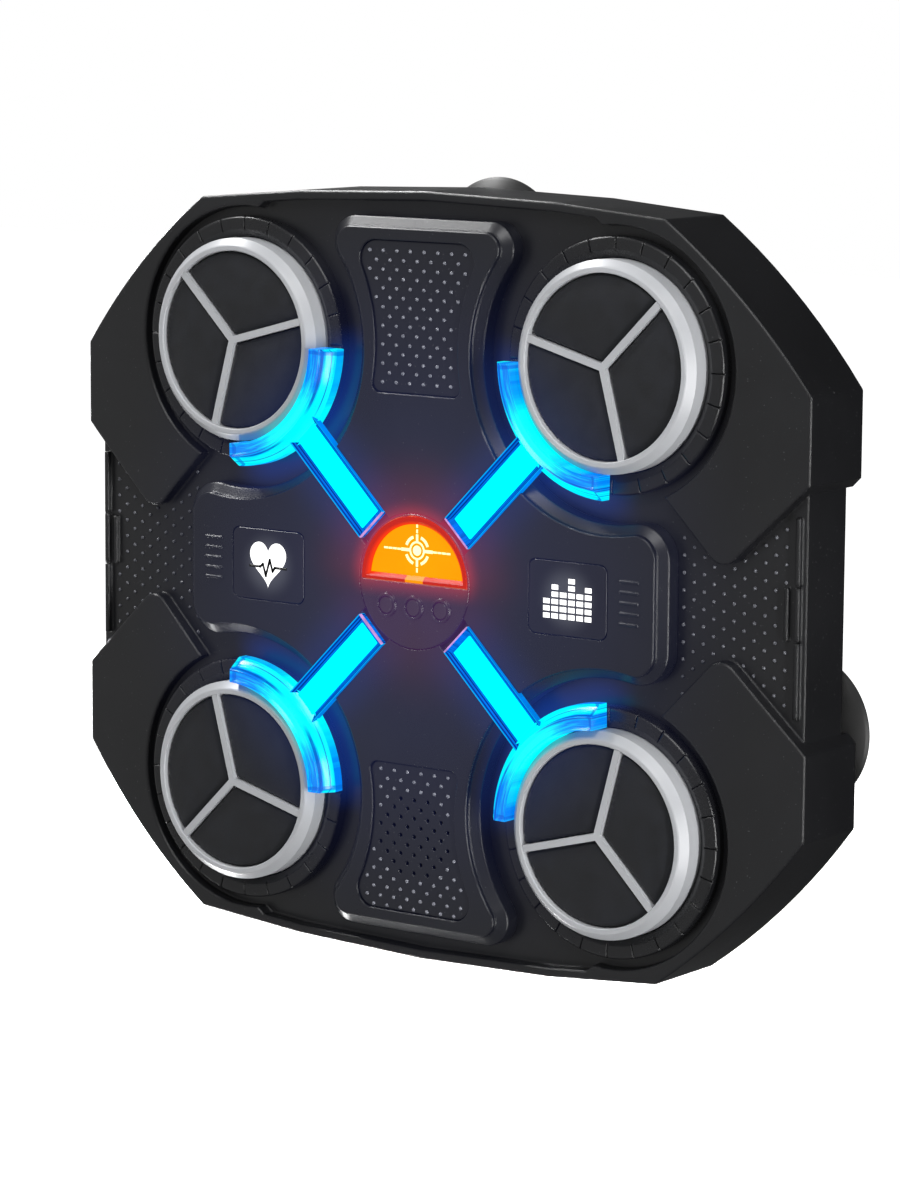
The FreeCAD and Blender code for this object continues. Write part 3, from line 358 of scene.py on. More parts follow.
class Nodes(Tree):
    """The node tree of a new material."""

    def __init__(self, name):
        self.material = bpy.data.materials.new(name)
        self.material.use_nodes = True
        super().__init__(self.material.node_tree)
        self.shader = self.tree.nodes["Principled BSDF"]

    def set(self, name, value):
        self.put(self.shader.inputs[name], value)

    def shine(self, shade, strength):
        """Lights the surface in this colour."""
        self.set("Emission Color", shade)
        self.set("Emission Strength", strength)

    def tone(self, haze, dark, light, low, high):
        """Varies the colour and the roughness with one noise."""
        self.set("Base Color", self.blend(haze, dark, light))
        self.set("Roughness", self.vary(haze, low, high))

    def place(self, offset=None):
        """Object coordinates, moved so that offset is their origin."""
        source = self.add("ShaderNodeTexCoord").outputs["Object"]
        if offset is None:
            return source
        shift = {"Vector": source, "Location": [-value for value in offset]}
        return self.add("ShaderNodeMapping", shift).outputs["Vector"]

    def mapped(self, name, scale):
        """A UV map, as it is and stretched."""
        flow = self.add("ShaderNodeUVMap", uv_map=name).outputs["UV"]
        stretch = {"Vector": flow, "Scale": scale}
        return flow, self.add("ShaderNodeMapping", stretch).outputs["Vector"]

    def noise(self, vector, scale, detail=3.0, roughness=0.5, distortion=0.0):
        node = self.add("ShaderNodeTexNoise", {
            "Vector": vector, "Scale": scale, "Detail": detail, "Roughness": roughness,
            "Distortion": distortion})
        return node.outputs["Fac"]

    def vary(self, value, new_low=0.0, new_high=1.0):
        """Spreads the usual span of a noise over a new one."""
        return self.spread(value, 0.3, 0.7, new_low, new_high)

    def fade(self, value, full, none, top=1.0):
        """Falls smoothly from top to nothing."""
        return self.eased(value, full, none, top, 0.0)

    def math(self, operation, first, second=None):
        values = {0: first} if second is None else {0: first, 1: second}
        return self.add("ShaderNodeMath", values, operation=operation).outputs["Value"]

    def times(self, first, second):
        return self.math("MULTIPLY", first, second)

    def plus(self, first, second):
        return self.math("ADD", first, second)

    def minus(self, first, second):
        return self.math("SUBTRACT", first, second)

    def power(self, value, exponent):
        return self.math("POWER", value, exponent)

    def size(self, value):
        return self.math("ABSOLUTE", value)

    def blend(self, factor, first, second):
        """Mixes two colours."""
        values = {0: factor, 6: first, 7: second}
        return self.add("ShaderNodeMix", values, data_type="RGBA").outputs[2]

    def bump(self, height, strength, distance, before=None):
        inputs = {"Height": height, "Strength": strength, "Distance": distance}
        if before is not None:
            inputs["Normal"] = before
        return self.add("ShaderNodeBump", inputs).outputs["Normal"]

    def vector(self, operation, first, second):
        return self.add("ShaderNodeVectorMath", {0: first, 1: second}, operation=operation).outputs["Vector"]

    def away(self, vector):
        """Distance from the origin of a vector, seen from the front."""
        flat = self.vector("MULTIPLY", vector, (1.0, 0.0, 1.0))
        return self.add("ShaderNodeVectorMath", {0: flat}, operation="LENGTH").outputs["Value"]

    def tinted(self, amount, shade):
        """A colour scaled by an amount."""
        scale = {0: shade, "Scale": amount}
        return self.add("ShaderNodeVectorMath", scale, operation="SCALE").outputs["Vector"]

    def added(self, first, second):
        return self.vector("ADD", first, second)

    def parts(self, vector):
        return self.add("ShaderNodeSeparateXYZ", {"Vector": vector}).outputs


def lighter(shade, factor):
    return tuple(min(1.0, part * factor) for part in shade)


def hub_spill(nodes, away, z):
    """Red light round the hub, stronger above it, and a faint violet light far out."""
    near = nodes.power(nodes.fade(away, HUB_RADIUS * 0.85, HUB_RADIUS * 2.6), 2.4)
    above = nodes.eased(z, -9.0 * MM, 6.0 * MM)
    red = nodes.times(near, nodes.plus(nodes.times(above, 0.052), 0.030))
    halo = nodes.power(nodes.fade(away, HUB_RADIUS * 0.86, HUB_RADIUS * 1.30), 1.6)
    halo = nodes.times(nodes.times(halo, above), 0.34)
    wide = nodes.fade(away, HUB_RADIUS * 0.5, HUB_RADIUS * 6.2, 0.040)
    return [(red, (1.0, 0.08, 0.10)), (wide, (0.18, 0.24, 1.0)), (halo, (1.0, 0.035, 0.01))]


def bar_spill(nodes, away, side, height):
    """Blue light beside the straight bars."""
    across = nodes.size(nodes.minus(side, height))
    beside = nodes.power(nodes.fade(across, 8.0 * MM, 50.0 * MM), 2.0)
    along = nodes.times(nodes.eased(away, 22.0 * MM, 50.0 * MM, 0.3, 1.0),
                        nodes.fade(away, 85.0 * MM, 125.0 * MM))
    return nodes.times(nodes.times(beside, along), 0.060)


def fork_spill(nodes, side, height):
    """Blue light round the outer edge of the forks, on the side of the hub."""
    right = nodes.minus(side, PAD_X)
    up = nodes.minus(height, PAD_X)
    radius = nodes.math("SQRT", nodes.plus(nodes.times(right, right), nodes.times(up, up)))
    toward = nodes.math("DIVIDE", nodes.plus(right, up), nodes.times(radius, -math.sqrt(2.0)))
    off = nodes.size(nodes.minus(radius, FORK_OUT))
    return nodes.times(nodes.fade(off, 1.0 * MM, 14.0 * MM), nodes.eased(toward, 0.55, 0.85, 0.0, 0.12))


def spill_light(nodes):
    """Light that the hub, the bars and the forks throw on the plastics, as a colour."""
    place = nodes.place()
    x, _, z = nodes.parts(place)
    away = nodes.away(place)
    side = nodes.size(x)
    height = nodes.size(z)
    lights = hub_spill(nodes, away, z)
    lights.append((bar_spill(nodes, away, side, height), (0.02, 0.14, 1.0)))
    lights.append((fork_spill(nodes, side, height), (0.0, 0.12, 1.0)))
    total = nodes.tinted(*lights[0])
    for amount, tint in lights[1:]:
        total = nodes.added(total, nodes.tinted(amount, tint))
    return total


def moulded(name, shade, rough=0.42, grain=0.0007, relief=0.12, lit=False, coat=0.0, edge=1.1 * MM):
    """Moulded plastic with a fine grain, slow sheen changes and specks of dust."""
    nodes = Nodes(name)
    place = nodes.place()
    slow = nodes.noise(place, 14.0, 4.0, 0.55, 0.3)
    fine = nodes.noise(place, 1.0 / grain, 2.0, 0.6)
    dust = nodes.noise(place, 900.0, 1.0, 0.5)
    speck = nodes.spread(dust, 0.745, 0.775)
    base = nodes.blend(nodes.spread(slow, 0.35, 0.65), lighter(shade, 0.86), lighter(shade, 1.16))
    base = nodes.blend(nodes.times(speck, 0.10), base, (0.45, 0.45, 0.47))
    nodes.set("Base Color", base)
    mixed = nodes.plus(nodes.times(slow, 0.7), nodes.times(fine, 0.3))
    nodes.set("Roughness", nodes.spread(mixed, 0.35, 0.65, rough - 0.05, rough + 0.07))
    rounded = nodes.add("ShaderNodeBevel", {"Radius": edge}, samples=6)
    nodes.set("Normal", nodes.bump(fine, relief, 0.00008, rounded.outputs["Normal"]))
    nodes.set("IOR", 1.48)
    nodes.set("Specular IOR Level", 0.5)
    nodes.set("Coat Weight", coat)
    nodes.set("Coat Roughness", 0.18)
    if lit:
        nodes.shine(spill_light(nodes), 1.0)
    return nodes.material


def ring_grey(finish):
    """Light grey plastic, a little rubbed where it is struck."""
    nodes = Nodes("pad_ring_grey")
    place = nodes.place()
    slow = nodes.noise(place, 22.0, 4.0, 0.6, 0.4)
    fine = nodes.noise(place, 1400.0, 2.0, 0.5)
    rubs = nodes.noise(place, 160.0, 6.0, 0.7, 1.2)
    shade = finish.ring
    base = nodes.blend(nodes.vary(slow), lighter(shade, 0.93), lighter(shade, 1.06))
    base = nodes.blend(nodes.spread(rubs, 0.66, 0.82, 0.0, 0.22), base, lighter(shade, 0.62))
    nodes.set("Base Color", base)
    nodes.set("Roughness", nodes.vary(slow, 0.30, 0.42))
    nodes.set("Normal", nodes.bump(fine, 0.10, 0.00006))
    nodes.set("Coat Weight", 0.15)
    nodes.set("Coat Roughness", 0.2)
    return nodes.material


def soft_foam(pads):
    """Soft black skin over foam: mottled, with a fine pebbled grain."""
    nodes = Nodes("pad_foam_skin")
    place = nodes.place()
    mottle = nodes.noise(place, 95.0, 5.0, 0.62, 0.5)
    pebble = nodes.add("ShaderNodeTexVoronoi", {"Scale": 1150.0, "Vector": place}, feature="SMOOTH_F1")
    shade = pads.foam
    base = nodes.blend(nodes.spread(mottle, 0.36, 0.66), lighter(shade, 0.72), lighter(shade, 1.35))
    nodes.set("Base Color", base)
    nodes.set("Roughness", nodes.vary(mottle, 0.56, 0.72))
    wave = nodes.bump(mottle, 0.18, 0.0006)
    nodes.set("Normal", nodes.bump(pebble.outputs["Distance"], 0.25, 0.00012, wave))
    nodes.set("Specular IOR Level", 0.36)
    nodes.set("Sheen Weight", 0.06)
    nodes.set("Sheen Roughness", 0.5)
    nodes.shine(pad_spill(nodes), 1.0)
    return nodes.material


def pad_spill(nodes):
    """Faint blue light that falls on a pad from the fork beside it."""
    away = nodes.away(nodes.place())
    near = nodes.fade(away, 83.0 * MM, 150.0 * MM)
    size = nodes.times(nodes.power(near, 2.2), 0.050)
    return nodes.tinted(size, (0.01, 0.14, 1.0))


def lens_amber(finish):
    """Lit lens: amber on the floor of its dish, red up the slope, dark red on its rim."""
    nodes = Nodes("hub_lens_amber")
    place = nodes.place()
    x, y, z = nodes.parts(place)
    depth = nodes.minus(y, front_of("hub_lens"))
    face = nodes.spread(depth, 1.9 * MM, 2.1 * MM)
    wall = nodes.spread(depth, 0.1 * MM, 1.4 * MM)
    haze = nodes.noise(place, 60.0, 3.0, 0.5)
    notch = nodes.times(nodes.spread(nodes.size(x), 4.4 * MM, 4.8 * MM, 1.0, 0.0),
                        nodes.spread(z, 3.0 * MM, 3.4 * MM, 1.0, 0.0))
    lit = nodes.math("MAXIMUM", face, nodes.times(notch, 0.85))
    slope = nodes.blend(wall, (0.42, 0.02, 0.015), finish.ember)
    amber = nodes.blend(nodes.vary(haze), finish.amber, (1.0, finish.amber[1] * 1.08, 0.0))
    nodes.set("Base Color", nodes.blend(lit, (0.20, 0.004, 0.002), (0.30, 0.05, 0.0)))
    nodes.shine(nodes.blend(lit, slope, amber), 0.95)
    nodes.set("Roughness", nodes.vary(haze, 0.22, 0.30))
    nodes.set("Specular IOR Level", 0.08)
    return nodes.material


def smoked_window(side):
    """Dark glossy pane with a soft white halo round the lit symbol behind it."""
    nodes = Nodes("window_smoke_" + side)
    centre = middle("icon_window_" + side)
    away = nodes.away(nodes.place((centre.x, 0.0, centre.z)))
    halo = nodes.times(nodes.power(nodes.fade(away, 6.0 * MM, 17.0 * MM), 1.5), 0.06)
    place = nodes.place()
    haze = nodes.noise(place, 45.0, 3.0, 0.5)
    nodes.tone(haze, (0.006, 0.006, 0.008), (0.012, 0.012, 0.015), 0.16, 0.24)
    nodes.shine(nodes.added(nodes.tinted(halo, (0.85, 0.9, 1.0)), spill_light(nodes)), 1.0)
    nodes.set("Specular IOR Level", 0.45)
    return nodes.material


def metal(name, shade, rough):
    """Turned or drawn metal with fine scratches."""
    nodes = Nodes(name)
    place = nodes.place()
    scratch = nodes.noise(place, 900.0, 5.0, 0.7, 2.0)
    nodes.tone(scratch, lighter(shade, 0.85), lighter(shade, 1.1), rough - 0.06, rough + 0.1)
    nodes.set("Normal", nodes.bump(scratch, 0.08, 0.00005))
    nodes.set("Metallic", 1.0)
    return nodes.material


def cup_rubber(finish):
    """Black rubber with faint flow marks."""
    nodes = Nodes("suction_cup_rubber")
    place = nodes.place()
    flow = nodes.noise(place, 30.0, 4.0, 0.5, 1.0)
    nodes.tone(flow, finish.rubber, lighter(finish.rubber, 1.8), 0.38, 0.5)
    nodes.set("Normal", nodes.bump(flow, 0.05, 0.0004))
    nodes.set("Specular IOR Level", 0.3)
    return nodes.material


def board(name, shade):
    """Printed circuit board with its copper just showing."""
    nodes = Nodes(name)
    place = nodes.place()
    tracks = nodes.add("ShaderNodeTexBrick", {"Scale": 260.0, "Vector": place})
    copper = nodes.times(tracks.outputs["Fac"], 0.6)
    nodes.set("Base Color", nodes.blend(copper, shade, lighter(shade, 2.2)))
    nodes.set("Roughness", 0.35)
    return nodes.material


def glowing(name, shade, strength, fade=0.12, gloss=0.5):
    """A lit surface, slightly uneven as light through a diffuser is."""
    nodes = Nodes(name)
    haze = nodes.noise(nodes.place(), 240.0, 3.0, 0.55)
    shown = nodes.blend(nodes.vary(haze), lighter(shade, 1.0 - fade), shade)
    nodes.tone(haze, lighter(shade, 0.25 * gloss), lighter(shade, 0.5 * gloss), 0.25, 0.4)
    nodes.shine(shown, strength)
    nodes.set("Specular IOR Level", gloss)
    return nodes.material


def fine_line(nodes, value, spot, width):
    """One on a line at spot, nothing away from it."""
    off = nodes.size(nodes.minus(value, spot))
    return nodes.fade(off, width * 0.5, width)


def clear_wall(guide):
    """The clear blue walls of the guides: deep blue, with dark and bright lines along them."""
    nodes = Nodes("guide_clear_blue")
    flow, stretched = nodes.mapped("flow", (1.6, 3.0, 1.0))
    _, v, _ = nodes.parts(flow)
    streak = nodes.noise(stretched, 1.0, 3.0, 0.6, 0.5)
    off = nodes.size(v)
    patchy = nodes.spread(streak, 0.35, 0.65)
    shown = nodes.blend(patchy, lighter(guide.clear, 0.55), lighter(guide.clear, 1.05))
    for spot, width, shade in ((3.42, 0.12, (0.0, 0.006, 0.11)), (3.86, 0.13, (0.0, 0.012, 0.18)),
                               (4.14, 0.13, (0.0, 0.50, 1.0))):
        shown = nodes.blend(fine_line(nodes, off, spot, width), shown, shade)
    nodes.shine(shown, 0.85)
    nodes.tone(streak, (0.0, 0.01, 0.08), (0.0, 0.03, 0.16), 0.40, 0.55)
    nodes.set("IOR", 1.15)
    nodes.set("Specular IOR Level", 0.12)
    return nodes.material


def clear_fork(guide):
    """The fork: full light at its middle, a blue trough toward its ends and a bright outer lip."""
    nodes = Nodes("guide_fork_blue")
    flow, stretched = nodes.mapped("flow", (2.0, 11.0, 1.0))
    u, v, _ = nodes.parts(flow)
    streak = nodes.noise(stretched, 1.3, 4.0, 0.6, 0.9)
    away = nodes.size(u)
    centre = nodes.fade(away, 0.20, 0.72)
    lip = nodes.times(nodes.eased(v, 0.60, 0.66), nodes.fade(v, 0.965, 0.995))
    amount = nodes.plus(nodes.times(centre, 0.80), nodes.times(lip, 0.62))
    amount = nodes.plus(amount, nodes.spread(streak, 0.42, 0.64, 0.0, 0.42))
    shown = nodes.blend(nodes.spread(amount, 0.10, 0.80), (0.0, 0.21, 0.86), guide.glow)
    dim = nodes.eased(away, 0.16, 0.42, 0.0, 0.88)
    for spot, width in ((0.50, 0.030), (0.585, 0.024), (0.80, 0.016)):
        broken = nodes.times(dim, nodes.spread(streak, 0.30, 0.50, 0.25, 1.0))
        line = nodes.times(fine_line(nodes, v, spot, width), broken)
        shown = nodes.blend(line, shown, (0.0, 0.05, 0.42))
    tip = nodes.times(fine_line(nodes, away, 0.955, 0.030), 0.7)
    shown = nodes.blend(tip, shown, (0.0, 0.10, 0.62))
    nodes.shine(shown, 0.95)
    nodes.tone(streak, (0.0, 0.02, 0.12), (0.0, 0.05, 0.20), 0.12, 0.22)
    nodes.set("Specular IOR Level", 0.4)
    nodes.set("Normal", nodes.bump(streak, 0.30, 0.0004))
    return nodes.material


def floor_finish(shade):
    """Plain pale floor."""
    nodes = Nodes("stage_floor_pale")
    haze = nodes.noise(nodes.place(), 3.0, 2.0, 0.5)
    nodes.set("Base Color", nodes.blend(haze, lighter(shade, 0.99), shade))
    nodes.set("Roughness", 0.8)
    nodes.shine((1.0, 1.0, 1.0), 1.0)
    return nodes.material


def finish_with(piece, material):
    piece.data.materials.clear()
    piece.data.materials.append(material)


# ---------------------------------------------------------------- operators
class TARGET_OT_housing_finish(bpy.types.Operator):
    """Gives every carried-over part its material"""

    bl_idname = "boxing_target.housing_finish"
    bl_label = "Housing and inner parts"

    def execute(self, context):
        finish = context.scene.target_finish
        grain = finish.grain
        inlay = moulded("inlay_black", finish.fascia, 0.36, grain, 0.16, lit=True)
        green = board("circuit_board", (0.0, 0.07, 0.03))
        steel = metal("screw_steel", (0.5, 0.5, 0.52), 0.32)
        strips = glowing("led_white", (0.85, 0.97, 1.0), 1.0)
        looks = {
            "front_shell": moulded("shell_black", finish.shell, 0.33, grain, 0.14, lit=True, edge=1.8 * MM),
            "rear_cover": moulded("cover_black", finish.cover, 0.50, grain, 0.2),
            "cover_screws": steel,
            "center_fascia": moulded("fascia_black", finish.fascia, 0.31, grain, 0.12, lit=True),
            "upper_inlay": inlay,
            "speaker_grille": inlay,
            "speaker": moulded("speaker_black", (0.01, 0.01, 0.01), 0.55, grain, 0.2),
            "icon_window_left": smoked_window("left"),
            "icon_window_right": smoked_window("right"),
            "window_lamps": strips,
            "led_strips": strips,
            "hub_lamp": strips,
            "hub_bezel": moulded("hub_black", finish.fascia, 0.26, grain, 0.06, lit=True, coat=0.2),
            "hub_lens": lens_amber(finish),
            "impact_sensors": moulded("sensor_black", (0.02, 0.02, 0.022), 0.45, grain, 0.1),
            "battery_pack": moulded("battery_wrap", (0.01, 0.06, 0.22), 0.3, grain, 0.05, coat=0.3),
            "main_board": green,
            "button_board": green,
            "button_": moulded("button_black", (0.012, 0.010, 0.012), 0.24, grain, 0.04, lit=True, coat=0.4),
            "charging_port": metal("port_steel", (0.6, 0.6, 0.62), 0.25),
            "pad_bezel_": moulded("collar_black", finish.shell, 0.28, grain, 0.10, lit=True),
            "pad_ring_": ring_grey(finish),
            "pad_carrier_": moulded("carrier_black", finish.shell, 0.5, grain, 0.1),
            "pad_screw_": steel,
            "pad_spring_": metal("spring_steel", (0.42, 0.42, 0.44), 0.28),
            "suction_cup_": cup_rubber(finish),
        }
        for name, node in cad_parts.items():
            if name.startswith(("pad_foam_", "light_guide_")):
                continue
            found = [material for beginning, material in looks.items() if name.startswith(beginning)]
            if not found:
                raise RuntimeError("no finish for " + name)
            for place in node.material_slots:
                place.material = found[0]
        return {"FINISHED"}


class TARGET_OT_pad_cushions(bpy.types.Operator):
    """Makes the soft sectors of the four pads, slightly swollen between the spokes"""

    bl_idname = "boxing_target.pad_cushions"
    bl_label = "Pad cushions"

    ring_width = 5.3 * MM
    gap = 0.35 * MM
    spoke_half = 1.8 * MM
    seat_depth = 6.0 * MM
    steps = 20

    def sector(self, pads):
        """One sector round the origin, from 0 to 120 degrees, blown up a little as soft foam is."""
        low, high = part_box("pad_foam_upper_right")
        start()
        bpy.ops.mesh.primitive_circle_add(
            vertices=72, radius=RING_RADIUS - self.ring_width - self.gap, fill_type="NGON",
            rotation=(math.pi / 2, 0.0, 0.0), location=(0.0, high.y, 0.0))
        piece = named("pad_sector")
        set_place(piece)
        edit()
        arc = math.radians(120.0)
        side = self.spoke_half
        far_side = (side * math.sin(arc), 0.0, -side * math.cos(arc))
        cuts = (((0.0, 0.0, side), (0.0, 0.0, 1.0)), (far_side, (math.sin(arc), 0.0, -math.cos(arc))))
        for point, way in cuts:
            bpy.ops.mesh.select_all(action="SELECT")
            bpy.ops.mesh.bisect(plane_co=point, plane_no=way, use_fill=False, clear_inner=True)
        bpy.ops.mesh.select_all(action="SELECT")
        drop = low.y - high.y + pads.crown
        bpy.ops.mesh.extrude_region_move(TRANSFORM_OT_translate={"value": (0.0, drop, 0.0)})
        bpy.ops.object.mode_set(mode="OBJECT")
        close_up(piece)
        bevelled(piece, 0.0007, 2)
        return piece

    def swell(self, piece, pads):
        """Cloth under slight pressure; the seated back stays where it is."""
        remesh = piece.modifiers.new("Fine", "REMESH")
        remesh.mode = "VOXEL"
        remesh.voxel_size = pads.voxel
        apply(piece, remesh)
        rest = [vertex.co.copy() for vertex in piece.data.vertices]
        front = max(point.y for point in rest) - self.seat_depth
        group = piece.vertex_groups.new(name="seat")
        group.add([index for index, point in enumerate(rest) if point.y > front], 1.0, "REPLACE")
        cloth = piece.modifiers.new("Swell", "CLOTH")
        cloth.settings.vertex_group_mass = "seat"
        cloth.settings.use_pressure = True
        cloth.settings.uniform_pressure_force = 4.0
        cloth.settings.effector_weights.gravity = 0.0
        cloth.point_cache.frame_start = 1
        cloth.point_cache.frame_end = self.steps
        scene = bpy.context.scene
        for step in range(1, self.steps + 1):
            scene.frame_set(step)
        apply(piece, cloth)
        scene.frame_set(1)
        for vertex, point in zip(piece.data.vertices, rest):
            shift = vertex.co - point
            if shift.length > pads.crown:
                vertex.co = point + shift.normalized() * pads.crown
        piece.vertex_groups.clear()

    def execute(self, context):
        pads = context.scene.target_pads
        sector = self.sector(pads)
        self.swell(sector, pads)
        skin = soft_foam(pads)
        turns = {"upper_right": 45.0, "upper_left": 15.0, "lower_left": 105.0, "lower_right": 75.0}
        for name, turn in turns.items():
            sectors = []
            for third in range(3):
                twin = copied(sector, "sector_%s_%d" % (name, third))
                moved(twin, Matrix.Rotation(-math.radians(turn + third * 120.0), 4, "Y"))
                sectors.append(twin)
            piece = joined(sectors, "pad_cushion_" + name)
            centre = PAD_CENTRES[name]
            moved(piece, Matrix.Translation((centre.x, 0.0, centre.z)))
            smooth(piece, 60.0)
            finish_with(piece, skin)
            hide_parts("pad_foam_" + name)
            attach(piece, "pad_" + name)
        bpy.data.objects.remove(sector)
        return {"FINISHED"}


def flat_strip(name, inner, outer, front, back):
    """A strip that lies along +X, left in edit mode so that it can be cut and spun about Y."""
    start()
    bpy.ops.mesh.primitive_plane_add(size=1.0, location=((inner + outer) / 2, (front + back) / 2, 0.0))
    piece = named(name)
    bpy.ops.transform.resize(value=(outer - inner, back - front, 1.0))
    set_place(piece)
    edit()
    return piece


def make_fork(guide):
    """The curved trough beside a pad, drawn round the origin with the hub along +X."""
    near = 0.1 * MM
    outer_drop = 6.2 * MM
    piece = flat_strip("fork", FORK_IN, FORK_OUT, GUIDE_FRONT, GUIDE_BACK)
    bpy.ops.mesh.bisect(plane_co=(FORK_STEP, 0.0, 0.0), plane_no=(1.0, 0.0, 0.0))
    pick(piece, "verts", lambda spot: spot.co.x > FORK_OUT - near and spot.co.y < GUIDE_FRONT + near)
    bpy.ops.transform.translate(value=(0.0, outer_drop, 0.0))
    bpy.ops.mesh.select_all(action="SELECT")
    bpy.ops.mesh.spin(steps=40, angle=2 * guide.spread, center=(0.0, 0.0, 0.0), axis=(0.0, 1.0, 0.0))
    bpy.ops.object.mode_set(mode="OBJECT")
    point_forward(piece)
    close_up(piece)
    troughs = ((FORK_IN, FORK_STEP, 1.5 * MM, 1.6 * MM), (FORK_STEP, FORK_OUT, 1.2 * MM, 2.2 * MM))
    for low, high, wall, depth in troughs:
        only(piece)
        edit()
        pick(piece, "faces", lambda face: face.normal.y < -0.4
             and low < math.hypot(face.calc_center_median().x, face.calc_center_median().z) < high)
        bpy.ops.mesh.inset(thickness=wall, depth=0.0)
        bpy.ops.transform.translate(value=(0.0, depth, 0.0))
        bpy.ops.object.mode_set(mode="OBJECT")
    close_up(piece)
    bevelled(piece, 0.35 * MM, 2, 35.0)
    smooth(piece)
    return piece


def point_forward(piece):
    """Turns a spun piece so that its middle lies along +X."""
    total = sum((vertex.co for vertex in piece.data.vertices), Vector())
    moved(piece, Matrix.Rotation(math.atan2(total.z, total.x), 4, "Y"))


def guide_reach():
    """How far the bar's inner end is from the pad's middle."""
    low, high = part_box("light_guide_upper_right")
    half = math.sqrt(0.5) * BAR_WIDTH / 2
    return math.hypot(PAD_X - low.x - half, PAD_X - low.z - half)


def make_rails(guide):
    """The clear bar: an open channel with walls down both sides and across its inner end."""
    near = guide_reach()
    far = FORK_OUT - 3.5 * MM
    back = FASCIA_FRONT + 3.4 * MM
    channel = 2.4 * MM
    piece = block("rails", ((near + far) / 2, (BAR_FRONT + back) / 2, 0.0),
                  (near - far, back - BAR_FRONT, BAR_WIDTH))
    only(piece)
    edit()
    pick(piece, "faces", lambda face: face.normal.y < -0.9)
    bpy.ops.mesh.inset(thickness=guide.wall, depth=0.0)
    bpy.ops.transform.translate(value=(0.0, channel, 0.0))
    bpy.ops.object.mode_set(mode="OBJECT")
    bevelled(piece, 0.4 * MM, 3)
    smooth(piece)
    return piece


def make_core(guide):
    """The glowing strip that lies in the channel and runs on under the fork."""
    near = guide_reach() - guide.wall - 0.6 * MM
    far = FORK_IN + 5.0 * MM
    floor = FASCIA_FRONT + 2.0 * MM
    thick = 1.2 * MM
    piece = block("core", ((near + far) / 2, floor - thick / 2 + 0.4 * MM, 0.0),
                  (near - far, thick, guide.core_width))
    bevelled(piece, 0.3 * MM, 2)
    smooth(piece)
    return piece


def make_end(guide):
    """The bright edge across the inner end of a bar."""
    centre = (guide_reach() - 0.15 * MM, BAR_FRONT + 0.7 * MM, 0.0)
    piece = block("end", centre, (0.6 * MM, 1.5 * MM, BAR_WIDTH - 0.6 * MM))
    bevelled(piece, 0.2 * MM, 2)
    return piece


def map_flow(piece, bend):
    """A UV map that follows the light: along the piece, then across it."""
    layer = piece.data.uv_layers.get("flow") or piece.data.uv_layers.new(name="flow")
    while len(piece.data.uv_layers) > 1:
        extra = [other for other in piece.data.uv_layers if other.name != "flow"][0]
        piece.data.uv_layers.remove(extra)
        layer = piece.data.uv_layers["flow"]
    for loop in piece.data.loops:
        spot = piece.data.vertices[loop.vertex_index].co
        if bend:
            along = math.atan2(spot.z, spot.x) / bend
            across = (math.hypot(spot.x, spot.z) - FORK_IN) / (FORK_OUT - FORK_IN)
        else:
            along = spot.x / 0.03
            across = spot.z / 0.002
        layer.data[loop.index].uv = (along, across)


class TARGET_OT_light_guides(bpy.types.Operator):
    """Makes the four clear light guides with their glowing cores"""

    bl_idname = "boxing_target.light_guides"
    bl_label = "Light guides"

    def execute(self, context):
        guide = context.scene.target_guides
        fork = make_fork(guide)
        rails = make_rails(guide)
        core = make_core(guide)
        end = make_end(guide)
        map_flow(fork, guide.spread)
        for straight in (rails, core, end):
            map_flow(straight, 0.0)
        shapes = (
            (fork, "guide_fork_", clear_fork(guide)),
            (rails, "guide_rails_", clear_wall(guide)),
            (core, "guide_core_", glowing("guide_core_cyan", guide.glow, guide.strength, 0.04, 0.0)),
            (end, "guide_end_", glowing("guide_end_pink", (0.80, 0.42, 0.92), 0.9, 0.5, 0.2)),
        )
        for name in CORNERS:
            for shape, family, material in shapes:
                piece = copied(shape, family + name)
                put_on_pad(piece, name)
                finish_with(piece, material)
                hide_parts("light_guide_" + name)
                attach(piece, "housing")
        for shape, _, _ in shapes:
            bpy.data.objects.remove(shape)
        return {"FINISHED"}


# ---------------------------------------------------------------- lit symbols
def arc_bar(name, centre, inner, outer, front, back, begin, sweep, steps):
    """Part of a flat ring seen from the front; angles in degrees, from +X toward +Z."""
    piece = flat_strip(name, inner, outer, front, back)
    bpy.ops.mesh.spin(steps=steps, angle=math.radians(sweep), center=(0.0, 0.0, 0.0), axis=(0.0, 1.0, 0.0))
    bpy.ops.object.mode_set(mode="OBJECT")
    if sweep < 360.0:
        point_forward(piece)
    close_up(piece)
    turn = Matrix.Rotation(-math.radians(begin + sweep / 2), 4, "Y")
    moved(piece, Matrix.Translation((centre[0], 0.0, centre[1])) @ turn)
    return piece


def disc(name, centre, radius, front, back, sides=32):
    start()
    bpy.ops.mesh.primitive_cylinder_add(
        vertices=sides, radius=radius, depth=back - front, rotation=(math.pi / 2, 0.0, 0.0),
        location=(centre[0], (front + back) / 2, centre[1]))
    piece = named(name)
    set_place(piece)
    return piece


def bar_between(name, first, second, width, front, back):
    """A thin flat bar from one point to another, seen from the front."""
    run = Vector((second[0] - first[0], second[1] - first[1]))
    piece = block(name, (0.0, (front + back) / 2, 0.0), (run.length + width * 0.8, back - front, width))
    turn = Matrix.Rotation(-math.atan2(run.y, run.x), 4, "Y")
    centre = ((first[0] + second[0]) / 2, (first[1] + second[1]) / 2)
    moved(piece, Matrix.Translation((centre[0], 0.0, centre[1])) @ turn)
    return piece


def seen_from_front(node, x, z):
    """Whether a ray from the front meets a CAD node, and where."""
    hit, spot, _, _ = node.ray_cast(Vector((x, IN_FRONT, z)), Vector((0.0, 1.0, 0.0)))
    return hit, spot


